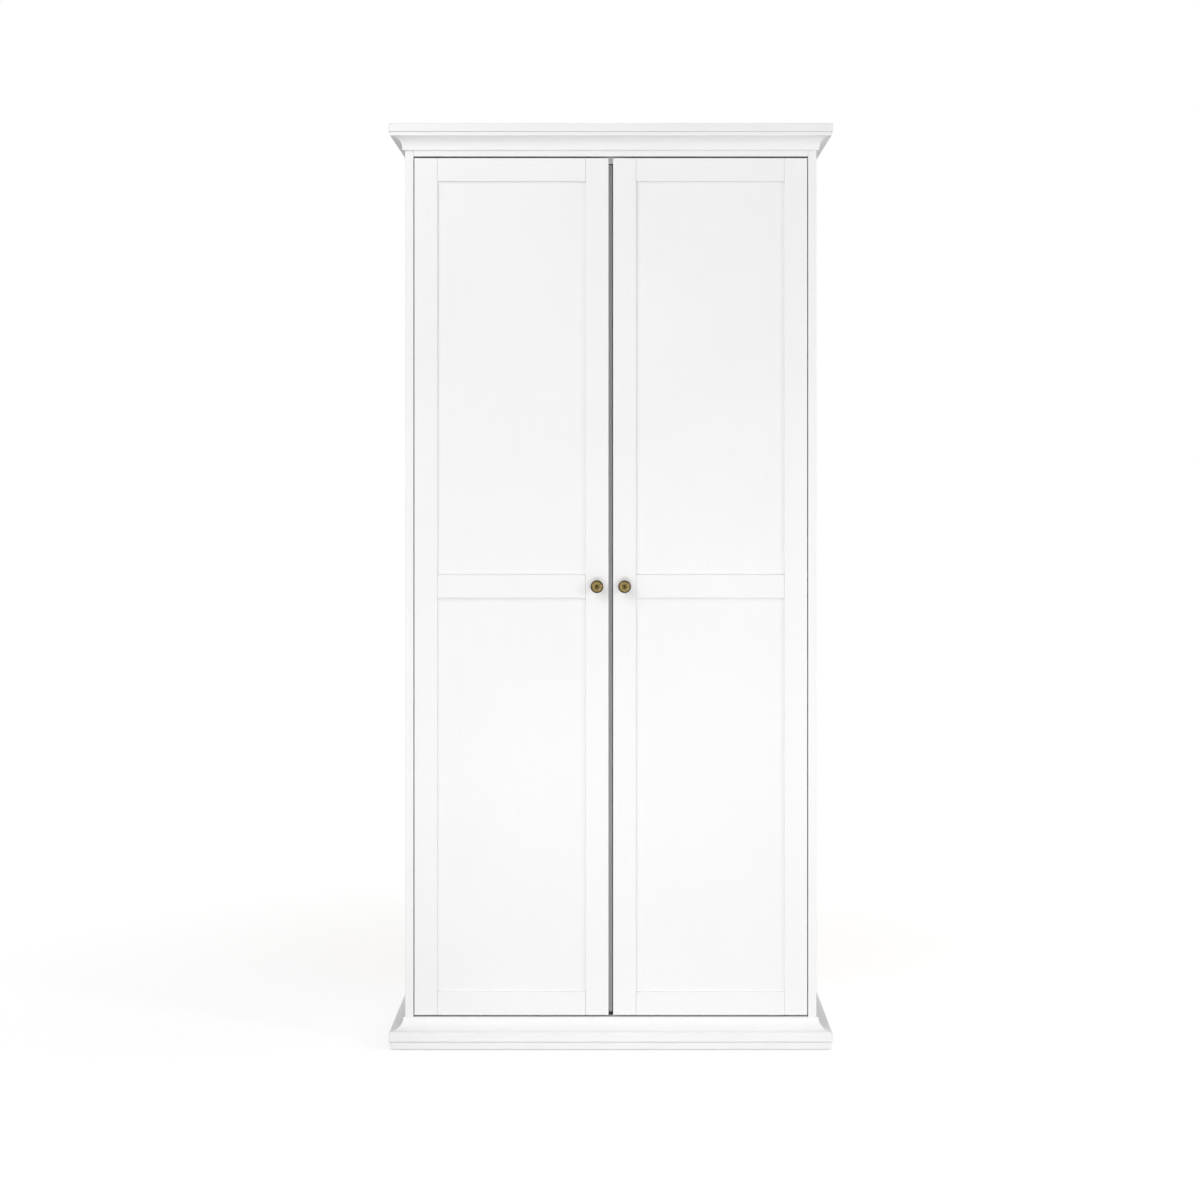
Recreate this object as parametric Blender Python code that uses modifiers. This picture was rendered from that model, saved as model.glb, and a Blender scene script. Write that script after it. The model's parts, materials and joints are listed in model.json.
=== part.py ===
"""Two-door wardrobe with a moulded cornice and plinth.

Metres, +Z up.  The doors face -Y.  The origin is on the floor, under the middle of the overall box.
"""
from math import cos, pi, radians, sin

import bmesh
import bpy
from mathutils import Matrix, Vector

# Overall sizes: over the mouldings, floor to top, front moulding to rear edge.
WIDTH = 0.962
HEIGHT = 2.006
DEPTH = 0.592

# Boards, gaps and feet.
BOARD = 0.018
GAP = 0.0003
GLIDE_HEIGHT = 0.003
GLIDE_RADIUS = 0.0075
GLIDE_INSET = 0.045

# Mouldings, all measured out from the carcass.
MOULDING = 0.0335
CAP_HEIGHT = 0.018
FRIEZE_HEIGHT = 0.0492
CORNICE_SETBACK = 0.003
CORNICE_FILLET = 0.0078
CORNICE_COVE_LIP = 0.0015
CORNICE_COVE_HEIGHT = 0.024
CORNICE_LEDGE = 0.006
CORNICE_LEDGE_HEIGHT = 0.004
PLINTH_HEIGHT = 0.0665
PLINTH_LEDGE = 0.004
PLINTH_LEDGE_HEIGHT = 0.001
PLINTH_COVE_HEIGHT = 0.0255
PLINTH_COVE_LIP = 0.0025
PLINTH_BEAD_HEIGHT = 0.0025
PLINTH_BAND_HEIGHT = 0.018
PLINTH_OGEE_HEIGHT = 0.005
PLINTH_FOOT_SETBACK = 0.0035
COVE_STEPS = 8

# Doors.
DOOR_THICKNESS = 0.019
DOOR_HINGE_GAP = 0.002
DOOR_CENTRE_GAP = 0.010
DOOR_TOP_GAP = 0.004
DOOR_BOTTOM_GAP = 0.0035
DOOR_ROUND = 0.0015
RAIL_WIDTH = 0.050
MID_RAIL_HEIGHT = 1.003
PANEL_RECESS = 0.007
PANEL_THICKNESS = 0.006
PANEL_GROOVE = 0.008
PANEL_PLAY = 0.001

# Closing strip behind the gap between the doors.
STRIP_WIDTH = 0.0255
STRIP_THICKNESS = 0.009
STRIP_CLEARANCE = 0.0015
STRIP_BOTTOM = 0.003
STRIP_TOP = 0.0125

# Knobs.
KNOB_RADIUS = 0.014
KNOB_LENGTH = 0.025
KNOB_FOOT_RADIUS = 0.0078
KNOB_NECK_RADIUS = 0.0048
KNOB_STEPS = 32

# Cup hinges: a cup in the door, an arm on a plate on the side panel, and one pin between them.
CUP_RADIUS = 0.0175
CUP_WALL = 0.0006
CUP_INSET = 0.022
CUP_DEPTH = 0.0129
CUP_LIP = 0.0018
CUP_LIP_THICKNESS = 0.001
CUP_EAR_WIDTH = 0.016
CUP_EAR_LENGTH = 0.060
CUP_SIDES = 32
STILE_WALL = 0.0025
PIN_RADIUS = 0.0012
PIN_OFFSET = 0.003
PIN_DEPTH = 0.0096
EYE_RADIUS = 0.0023
ARM_THICKNESS = 0.002
ARM_WIDTH = 0.012
ARM_HOUSING_WIDTH = 0.015
ARM_HOUSING_LENGTH = 0.042
ARM_HOUSING_HEIGHT = 0.0073
ARM_REACH = 0.0268
PLATE_THICKNESS = 0.0049
PLATE_WIDTH = 0.017
PLATE_LENGTH = 0.040
PLATE_SETBACK = 0.004
PLATE_WING_THICKNESS = 0.002
PLATE_WING_LENGTH = 0.012
PLATE_WING_WIDTH = 0.048
HINGE_END = 0.100

# Inside: back, shelf, rail and catch.
HARDBOARD = 0.003
BACK_LIP = 0.010
BACK_GROOVE = 0.006
BACK_FLOOR = 0.038
JOINT_WEB = 0.0012
JOINT_FLANGE = 0.020
JOINT_FLANGE_THICKNESS = 0.001
SHELF_BELOW_TOP = 0.3205
SHELF_SETBACK = 0.060
SHELF_PLAY = 0.001
RAIL_HEIGHT = 0.030
RAIL_THICKNESS = 0.015
RAIL_WALL = 0.0012
RAIL_BELOW_SHELF = 0.050
SOCKET_WALL = 0.0025
SOCKET_DEPTH = 0.014
CATCH_WIDTH = 0.060
CATCH_HEIGHT = 0.014
CATCH_LENGTH = 0.022
CATCH_CLEARANCE = 0.0008

# Derived planes.
LEFT = -1
RIGHT = 1
HALF = WIDTH / 2 - MOULDING
INNER = HALF - BOARD
FRONT = MOULDING - DEPTH / 2
BACK = DEPTH / 2
LIFT = GLIDE_HEIGHT + GAP
UNDER_CAP = HEIGHT - CAP_HEIGHT
CEILING = UNDER_CAP - FRIEZE_HEIGHT
BACK_GROOVE_FRONT = BACK - BACK_LIP - HARDBOARD - 2 * GAP
DOOR_BOTTOM = PLINTH_HEIGHT + DOOR_BOTTOM_GAP
DOOR_TOP = CEILING - DOOR_TOP_GAP
DOOR_WIDTH = INNER - DOOR_HINGE_GAP - DOOR_CENTRE_GAP / 2
DOOR_BACK = FRONT + DOOR_THICKNESS
STILE_WIDTH = CUP_INSET + CUP_RADIUS + STILE_WALL + PANEL_GROOVE
SHELF_TOP = CEILING - SHELF_BELOW_TOP
SHELF_UNDER = SHELF_TOP - BOARD
CLOTHES_RAIL_Z = SHELF_UNDER - RAIL_BELOW_SHELF
HINGE_HEIGHTS = {
    "lower": DOOR_BOTTOM + HINGE_END,
    "middle": (DOOR_BOTTOM + DOOR_TOP) / 2,
    "upper": DOOR_TOP - HINGE_END,
}

# Colour, roughness and metallic value of each finish.
FINISHES = {
    "white_paint": ((0.90, 0.90, 0.90), 0.45, 0.0),
    "hardboard": ((0.62, 0.50, 0.36), 0.70, 0.0),
    "antique_brass": ((0.36, 0.25, 0.11), 0.40, 1.0),
    "nickel_steel": ((0.62, 0.62, 0.61), 0.30, 1.0),
    "white_plastic": ((0.82, 0.82, 0.80), 0.50, 0.0),
}


def new_collection(name):
    """Make a collection in the scene."""
    collection = bpy.data.collections.new(name)
    bpy.context.scene.collection.children.link(collection)
    return collection


def own_material(name, finish):
    """Give a part its own material in one of the finishes."""
    colour, roughness, metallic = FINISHES[finish]
    material = bpy.data.materials.new(name + "_" + finish)
    material.diffuse_color = (*colour, 1.0)
    material.use_nodes = True
    shader = material.node_tree.nodes["Principled BSDF"]
    shader.inputs["Base Color"].default_value = (*colour, 1.0)
    shader.inputs["Roughness"].default_value = roughness
    shader.inputs["Metallic"].default_value = metallic
    return material


def add_part(name, mesh, finish, place=(0, 0, 0), turn=(0, 0, 0), parent=None):
    """Put a mesh in the scene as a named part, placed in world coordinates."""
    part = bpy.data.objects.new(name, mesh)
    if not mesh.materials:
        mesh.materials.append(None)
    parts_collection.objects.link(part)
    part.material_slots[0].link = "OBJECT"
    part.material_slots[0].material = own_material(name, finish)
    part.rotation_euler = turn
    part.location = place
    if parent is not None:
        part.parent = parent
        part.location = Vector(place) - parent.location
    return part


def add_tool(mesh, place=(0, 0, 0)):
    """Put a mesh in the scene as a hidden cutter or joining piece."""
    tool = bpy.data.objects.new("tool", mesh)
    tools_collection.objects.link(tool)
    tool.location = place
    tool.hide_render = True
    tool.display_type = "WIRE"
    return tool


def combine(target, tool, operation):
    """Cut or join one object with another."""
    modifier = target.modifiers.new(operation.lower(), "BOOLEAN")
    modifier.operation = operation
    modifier.object = tool
    modifier.solver = "EXACT"


def round_edges(part, width, segments=1):
    """Round the sharp edges of a part."""
    bevel = part.modifiers.new("edges", "BEVEL")
    bevel.width = width
    bevel.segments = segments
    bevel.limit_method = "ANGLE"
    bevel.angle_limit = radians(40)


def mesh_from(bm, name):
    """Turn a bmesh into a mesh."""
    mesh = bpy.data.meshes.new(name)
    bm.to_mesh(mesh)
    bm.free()
    return mesh


def block_mesh(size):
    """A block of the given size about its centre."""
    bm = bmesh.new()
    bmesh.ops.create_cube(bm, size=1.0)
    bmesh.ops.scale(bm, vec=size, verts=bm.verts)
    return mesh_from(bm, "block")


def span(low, high):
    """Size and centre of the block between two corners."""
    low = Vector(low)
    high = Vector(high)
    size = Vector([abs(value) for value in high - low])
    return size, (low + high) / 2


def board(name, low, high, finish="white_paint", parent=None, edge=0.0006, segments=1):
    """A board between two corners, with eased edges."""
    size, centre = span(low, high)
    part = add_part(name, block_mesh(size), finish, centre, parent=parent)
    round_edges(part, edge, segments)
    return part


def block_tool(low, high):
    """A hidden block between two corners."""
    size, centre = span(low, high)
    return add_tool(block_mesh(size), centre)


def cylinder_mesh(radius, length, sides, axis="Z", top_radius=None):
    """A cylinder or cone about its centre, along one axis."""
    bm = bmesh.new()
    end_radius = radius if top_radius is None else top_radius
    bmesh.ops.create_cone(
        bm, cap_ends=True, segments=sides, radius1=radius, radius2=end_radius, depth=length
    )
    if axis == "Y":
        bmesh.ops.rotate(bm, matrix=Matrix.Rotation(-pi / 2, 3, "X"), verts=bm.verts)
    return mesh_from(bm, "cylinder")


def bake(obj):
    """Turn an object and its modifiers into a welded mesh in world coordinates."""
    bpy.context.view_layer.update()
    evaluated = obj.evaluated_get(bpy.context.evaluated_depsgraph_get())
    mesh = bpy.data.meshes.new_from_object(evaluated)
    mesh.transform(obj.matrix_world)
    bpy.data.objects.remove(obj)
    bm = bmesh.new()
    bm.from_mesh(mesh)
    bmesh.ops.remove_doubles(bm, verts=bm.verts, dist=0.00001)
    bm.to_mesh(mesh)
    bm.free()
    return mesh


def outline_mesh(outlines, length):
    """Extrude closed outlines to both sides of their plane; a second outline is a hole."""
    curve = bpy.data.curves.new("outline", "CURVE")
    curve.dimensions = "2D"
    curve.fill_mode = "BOTH"
    curve.extrude = length / 2
    for points in outlines:
        spline = curve.splines.new("POLY")
        spline.points.add(len(points) - 1)
        for target, point in zip(spline.points, points):
            target.co = (*point, 0.0, 1.0)
        spline.use_cyclic_u = True
    return bake(add_tool(curve))


def turned_mesh(profile, steps):
    """Turn a profile of (radius, height) points, from top to bottom, about Z."""
    mesh = bpy.data.meshes.new("profile")
    points = [(radius, 0.0, height) for radius, height in profile]
    edges = [(index, index + 1) for index in range(len(points) - 1)]
    mesh.from_pydata(points, edges, [])
    turned = add_tool(mesh)
    screw = turned.modifiers.new("turn", "SCREW")
    screw.axis = "Z"
    screw.steps = steps
    screw.render_steps = steps
    screw.use_merge_vertices = True
    screw.merge_threshold = 0.00001
    return bake(turned)


def cove(centre, width, height, start, end):
    """Points on a hollow quarter ellipse, from one angle to the other."""
    points = []
    for step in range(COVE_STEPS + 1):
        angle = radians(start + (end - start) * step / COVE_STEPS)
        points.append((centre[0] + width * cos(angle), centre[1] + height * sin(angle)))
    return points


def cornice_profile():
    """Section of the cornice: distance out from the carcass, and height."""
    top = UNDER_CAP - GAP
    fillet = MOULDING - CORNICE_SETBACK
    cove_top = top - CORNICE_FILLET
    cove_out = fillet - CORNICE_COVE_LIP
    cove_bottom = cove_top - CORNICE_COVE_HEIGHT
    bottom = cove_bottom - CORNICE_LEDGE_HEIGHT
    hollow = cove((cove_out, cove_bottom), cove_out - CORNICE_LEDGE, CORNICE_COVE_HEIGHT, 90, 180)
    return [(GAP, top), (fillet, top), (fillet, cove_top), *hollow, (CORNICE_LEDGE, bottom), (GAP, bottom)]


def plinth_profile():
    """Section of the plinth: distance out from the carcass, and height."""
    cove_top = PLINTH_HEIGHT - PLINTH_LEDGE_HEIGHT
    cove_out = MOULDING - PLINTH_COVE_LIP
    cove_bottom = cove_top - PLINTH_COVE_HEIGHT
    band_top = cove_bottom - PLINTH_BEAD_HEIGHT
    band_bottom = band_top - PLINTH_BAND_HEIGHT
    foot = MOULDING - PLINTH_FOOT_SETBACK
    hollow = cove((cove_out, cove_top), cove_out - PLINTH_LEDGE, PLINTH_COVE_HEIGHT, 180, 270)
    return [
        (GAP, PLINTH_HEIGHT),
        (PLINTH_LEDGE, PLINTH_HEIGHT),
        *hollow,
        (cove_out, band_top),
        (MOULDING, band_top - PLINTH_FOOT_SETBACK / 2),
        (MOULDING, band_bottom),
        (foot, band_bottom - PLINTH_OGEE_HEIGHT),
        (foot, LIFT),
        (GAP, LIFT),
    ]


def moulding(name, profile, side):
    """A length of moulding on the front (side 0), or mitred to it on the left or right."""
    if side == 0:
        length = 2 * HALF
        centre = Vector((0, FRONT, 0))
        out = Vector((0, -1, 0))
        along = Vector((1, 0, 0))
    else:
        length = BACK - FRONT
        centre = Vector((side * HALF, (BACK + FRONT) / 2, 0))
        out = Vector((side, 0, 0))
        along = Vector((0, 1, 0))
    mesh = outline_mesh([profile], length)
    mitre_gap = GAP / 2 * 2 ** 0.5
    for vertex in mesh.vertices:
        proud, height, run = vertex.co
        if side == 0:
            reach = (proud - mitre_gap) * (1 if run > 0 else -1)
        else:
            reach = mitre_gap - proud if run < 0 else 0.0
        vertex.co = centre + out * proud + along * (run + reach) + Vector((0, 0, height))
    bm = bmesh.new()
    bm.from_mesh(mesh)
    bmesh.ops.recalc_face_normals(bm, faces=bm.faces)
    bm.to_mesh(mesh)
    bm.free()
    return add_part(name, mesh, "white_paint")


def stadium(height, width, steps=6):
    """Outline of an upright oval with straight sides: (across, up) points."""
    radius = width / 2
    straight = height / 2 - radius
    points = []
    for sign, start in ((1, 0), (-1, 180)):
        for step in range(steps + 1):
            angle = radians(start + 180 * step / steps)
            points.append((radius * cos(angle), sign * straight + radius * sin(angle)))
    return points


def along_x(mesh):
    """Stand an outline's mesh up so that it is extruded along X, its own X across and Y up."""
    mesh.transform(Matrix(((0, 0, 1, 0), (1, 0, 0, 0), (0, 1, 0, 0), (0, 0, 0, 1))))
    return mesh


def side_word(side):
    """The name of a side."""
    return "left" if side == LEFT else "right"


def carcass():
    """Sides, top, bottom and the rails between them."""
    for side in (LEFT, RIGHT):
        panel = board(
            "side_panel_" + side_word(side),
            (side * INNER, FRONT, LIFT),
            (side * HALF, BACK, UNDER_CAP - GAP),
        )
        groove = block_tool(
            (side * (INNER - GAP), BACK_GROOVE_FRONT, LIFT - GAP),
            (side * (INNER + BACK_GROOVE), BACK_GROOVE_FRONT + HARDBOARD + 2 * GAP, UNDER_CAP),
        )
        combine(panel, groove, "DIFFERENCE")
        for end, place_y in (("front", FRONT + GLIDE_INSET), ("rear", BACK - GLIDE_INSET)):
            mesh = cylinder_mesh(GLIDE_RADIUS, GLIDE_HEIGHT, 20, top_radius=GLIDE_RADIUS * 1.1)
            place = (side * (HALF - BOARD / 2), place_y, GLIDE_HEIGHT / 2)
            add_part("glide_" + side_word(side) + "_" + end, mesh, "white_plastic", place)
    reach = INNER - GAP
    rail_back = FRONT + BOARD
    board(
        "bottom_panel",
        (-reach, FRONT, PLINTH_HEIGHT - BOARD),
        (reach, BACK_GROOVE_FRONT, PLINTH_HEIGHT),
    )
    board("base_rail", (-reach, FRONT, LIFT), (reach, rail_back, PLINTH_HEIGHT - BOARD - GAP))
    board("frieze_rail", (-reach, FRONT, CEILING), (reach, rail_back, UNDER_CAP - GAP))
    board(
        "top_panel",
        (-reach, rail_back + GAP, CEILING),
        (reach, BACK_GROOVE_FRONT, CEILING + BOARD),
    )


def mouldings():
    """Cap, cornice and plinth."""
    board(
        "cornice_cap",
        (-WIDTH / 2, -DEPTH / 2, UNDER_CAP),
        (WIDTH / 2, DEPTH / 2, HEIGHT),
        edge=0.001,
    )
    for word, side in (("front", 0), ("left", LEFT), ("right", RIGHT)):
        moulding("cornice_" + word, cornice_profile(), side)
        moulding("plinth_" + word, plinth_profile(), side)


def back():
    """Two hardboard halves in the sides' grooves, and the strip that joins them."""
    board_front = BACK_GROOVE_FRONT + GAP
    board_back = board_front + HARDBOARD
    half_web = JOINT_WEB / 2
    top = UNDER_CAP - SHELF_PLAY
    for side in (LEFT, RIGHT):
        board(
            "back_panel_" + side_word(side),
            (side * (half_web + GAP), board_front, BACK_FLOOR),
            (side * (INNER + BACK_GROOVE - SHELF_PLAY), board_back, top),
            "hardboard",
            edge=0.0003,
        )
    flange_front = board_back + GAP
    flange_back = flange_front + JOINT_FLANGE_THICKNESS
    half_flange = JOINT_FLANGE / 2
    section = [
        (-half_web, board_front),
        (half_web, board_front),
        (half_web, flange_front),
        (half_flange, flange_front),
        (half_flange, flange_back),
        (-half_flange, flange_back),
        (-half_flange, flange_front),
        (-half_web, flange_front),
    ]
    mesh = outline_mesh([section], top - BACK_FLOOR)
    add_part("back_joint_strip", mesh, "white_plastic", (0, 0, (top + BACK_FLOOR) / 2))


def fittings():
    """Hat shelf, clothes rail with its sockets, and the door catch."""
    reach = INNER - SHELF_PLAY
    board(
        "hat_shelf",
        (-reach, FRONT + SHELF_SETBACK, SHELF_UNDER),
        (reach, BACK_GROOVE_FRONT, SHELF_TOP),
    )
    middle_y = (FRONT + SHELF_SETBACK + BACK_GROOVE_FRONT) / 2
    rail_reach = INNER - GAP - SOCKET_WALL - GAP
    hollow = stadium(RAIL_HEIGHT - 2 * RAIL_WALL, RAIL_THICKNESS - 2 * RAIL_WALL)
    tube = along_x(outline_mesh([stadium(RAIL_HEIGHT, RAIL_THICKNESS), hollow], 2 * rail_reach))
    add_part("clothes_rail", tube, "nickel_steel", (0, middle_y, CLOTHES_RAIL_Z))
    grow = 2 * (SOCKET_WALL + GAP)
    for side in (LEFT, RIGHT):
        outer = stadium(RAIL_HEIGHT + grow, RAIL_THICKNESS + grow)
        place = Vector((side * (INNER - GAP - SOCKET_DEPTH / 2), middle_y, CLOTHES_RAIL_Z))
        socket = add_part(
            "rail_socket_" + side_word(side), along_x(outline_mesh([outer], SOCKET_DEPTH)), "nickel_steel", place
        )
        seat = stadium(RAIL_HEIGHT + 2 * GAP, RAIL_THICKNESS + 2 * GAP)
        tool = add_tool(along_x(outline_mesh([seat], SOCKET_DEPTH)), place - Vector((side * SOCKET_WALL, 0, 0)))
        combine(socket, tool, "DIFFERENCE")
    catch_front = DOOR_BACK + CATCH_CLEARANCE
    board(
        "door_catch",
        (-CATCH_WIDTH / 2, catch_front, CEILING - GAP - CATCH_HEIGHT),
        (CATCH_WIDTH / 2, catch_front + CATCH_LENGTH, CEILING - GAP),
        "white_plastic",
        edge=0.0012,
    )


def pin_place(side, height):
    """Where a door's hinge pin is."""
    across = INNER - DOOR_HINGE_GAP - CUP_INSET + PIN_OFFSET
    return Vector((side * across, DOOR_BACK - PIN_DEPTH, height))


def cup_mesh():
    """Hinge cup with its mounting ears and pin, about the pin, its mouth towards +Y."""
    inner_radius = CUP_RADIUS - CUP_WALL
    rim = CUP_DEPTH + CUP_LIP_THICKNESS
    profile = [
        (0.0, CUP_WALL),
        (inner_radius, CUP_WALL),
        (inner_radius, rim),
        (CUP_RADIUS + CUP_LIP, rim),
        (CUP_RADIUS + CUP_LIP, CUP_DEPTH + GAP),
        (CUP_RADIUS, CUP_DEPTH + GAP),
        (CUP_RADIUS, 0.0),
        (0.0, 0.0),
    ]
    shell = turned_mesh(profile, CUP_SIDES)
    shell.transform(Matrix.Rotation(-pi / 2, 4, "X"))
    cup_floor = PIN_DEPTH - CUP_DEPTH
    shell.transform(Matrix.Translation((PIN_OFFSET, cup_floor, 0)))
    cup = add_tool(shell)
    ear_low = (PIN_OFFSET - CUP_EAR_WIDTH / 2, PIN_DEPTH + GAP, -CUP_EAR_LENGTH / 2)
    ear_high = (PIN_OFFSET + CUP_EAR_WIDTH / 2, PIN_DEPTH + CUP_LIP_THICKNESS, CUP_EAR_LENGTH / 2)
    ears = block_tool(ear_low, ear_high)
    mouth = cylinder_mesh(inner_radius + CUP_WALL / 2, 4 * CUP_LIP_THICKNESS, CUP_SIDES, "Y")
    combine(ears, add_tool(mouth, (PIN_OFFSET, PIN_DEPTH, 0)), "DIFFERENCE")
    combine(cup, ears, "UNION")
    half_chord = (inner_radius ** 2 - PIN_OFFSET ** 2) ** 0.5
    pin = cylinder_mesh(PIN_RADIUS, 2 * half_chord + CUP_WALL, 12)
    combine(cup, add_tool(pin), "UNION")
    return bake(cup)


def arm_mesh():
    """Hinge arm, about the pin: an eye, a bent neck and the housing that sits on the plate."""
    side_face = -(CUP_INSET - PIN_OFFSET) - DOOR_HINGE_GAP
    housing_low = side_face + GAP + PLATE_THICKNESS + GAP
    housing_top = housing_low + ARM_HOUSING_HEIGHT
    neck_end = (housing_top - ARM_THICKNESS / 2, ARM_REACH + ARM_THICKNESS)
    curve = bpy.data.curves.new("neck", "CURVE")
    curve.dimensions = "2D"
    curve.extrude = ARM_WIDTH / 2
    curve.resolution_u = 4
    spline = curve.splines.new("BEZIER")
    bends = [(0, 0), (0.012, 0.010), (0.0165, 0.0185), (0.0125, ARM_REACH - 0.0015), (0.002, ARM_REACH), neck_end]
    spline.bezier_points.add(len(bends) - 1)
    for target, bend in zip(spline.bezier_points, bends):
        target.co = (*bend, 0.0)
        target.handle_left_type = "AUTO"
        target.handle_right_type = "AUTO"
    arm = add_tool(bake(add_tool(curve)))
    wall = arm.modifiers.new("wall", "SOLIDIFY")
    wall.thickness = ARM_THICKNESS
    wall.offset = 0.0
    wall.use_even_offset = True
    eye = cylinder_mesh(EYE_RADIUS, ARM_WIDTH, 16)
    combine(arm, add_tool(eye), "UNION")
    half_width = ARM_HOUSING_WIDTH / 2
    housing = block_tool(
        (housing_low, ARM_REACH, -half_width),
        (housing_top, ARM_REACH + ARM_HOUSING_LENGTH, half_width),
    )
    combine(arm, housing, "UNION")
    bore = cylinder_mesh(PIN_RADIUS + GAP, 2 * ARM_WIDTH, 16)
    combine(arm, add_tool(bore), "DIFFERENCE")
    return bake(arm)


def plate_mesh():
    """Mounting plate on the side panel, about the pin: a raised bed and two screw wings."""
    face = -(CUP_INSET - PIN_OFFSET) - DOOR_HINGE_GAP + GAP
    bed_front = ARM_REACH + PLATE_SETBACK
    plate = block_tool(
        (face, bed_front, -PLATE_WIDTH / 2),
        (face + PLATE_THICKNESS, bed_front + PLATE_LENGTH, PLATE_WIDTH / 2),
    )
    wing_front = bed_front + (PLATE_LENGTH - PLATE_WING_LENGTH) / 2
    wings = block_tool(
        (face, wing_front, -PLATE_WING_WIDTH / 2),
        (face + PLATE_WING_THICKNESS, wing_front + PLATE_WING_LENGTH, PLATE_WING_WIDTH / 2),
    )
    combine(plate, wings, "UNION")
    return bake(plate)


def hinges(side, axis_empty, meshes):
    """Three hinges on one side: cups ride with the door, arms and plates stay on the carcass."""
    turn = (0, 0, 0) if side == LEFT else (0, pi, 0)
    for word, height in HINGE_HEIGHTS.items():
        place = pin_place(side, height)
        tail = side_word(side) + "_" + word
        add_part("hinge_cup_" + tail, meshes["cup"], "nickel_steel", place, turn, axis_empty)
        add_part("hinge_arm_" + tail, meshes["arm"], "nickel_steel", place, turn)
        add_part("hinge_plate_" + tail, meshes["plate"], "nickel_steel", place, turn)


def knob_mesh():
    """A turned knob on a waisted stem, standing up along Z from its foot."""
    face = KNOB_LENGTH
    head = KNOB_RADIUS
    profile = [
        (0.0, face - 0.0006),
        (head * 0.22, face - 0.0006),
        (head * 0.28, face),
        (head * 0.62, face - 0.0004),
        (head * 0.80, face - 0.0014),
        (head * 0.95, face - 0.0032),
        (head, face - 0.0052),
        (head * 0.96, face - 0.0072),
        (head * 0.72, face - 0.0100),
        (KNOB_NECK_RADIUS * 1.15, face - 0.0125),
        (KNOB_NECK_RADIUS, face - 0.0150),
        (KNOB_NECK_RADIUS * 1.1, 0.0060),
        (KNOB_FOOT_RADIUS * 0.9, 0.0028),
        (KNOB_FOOT_RADIUS, 0.0016),
        (KNOB_FOOT_RADIUS, 0.0),
        (0.0, 0.0),
    ]
    return turned_mesh(profile, KNOB_STEPS)


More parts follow.
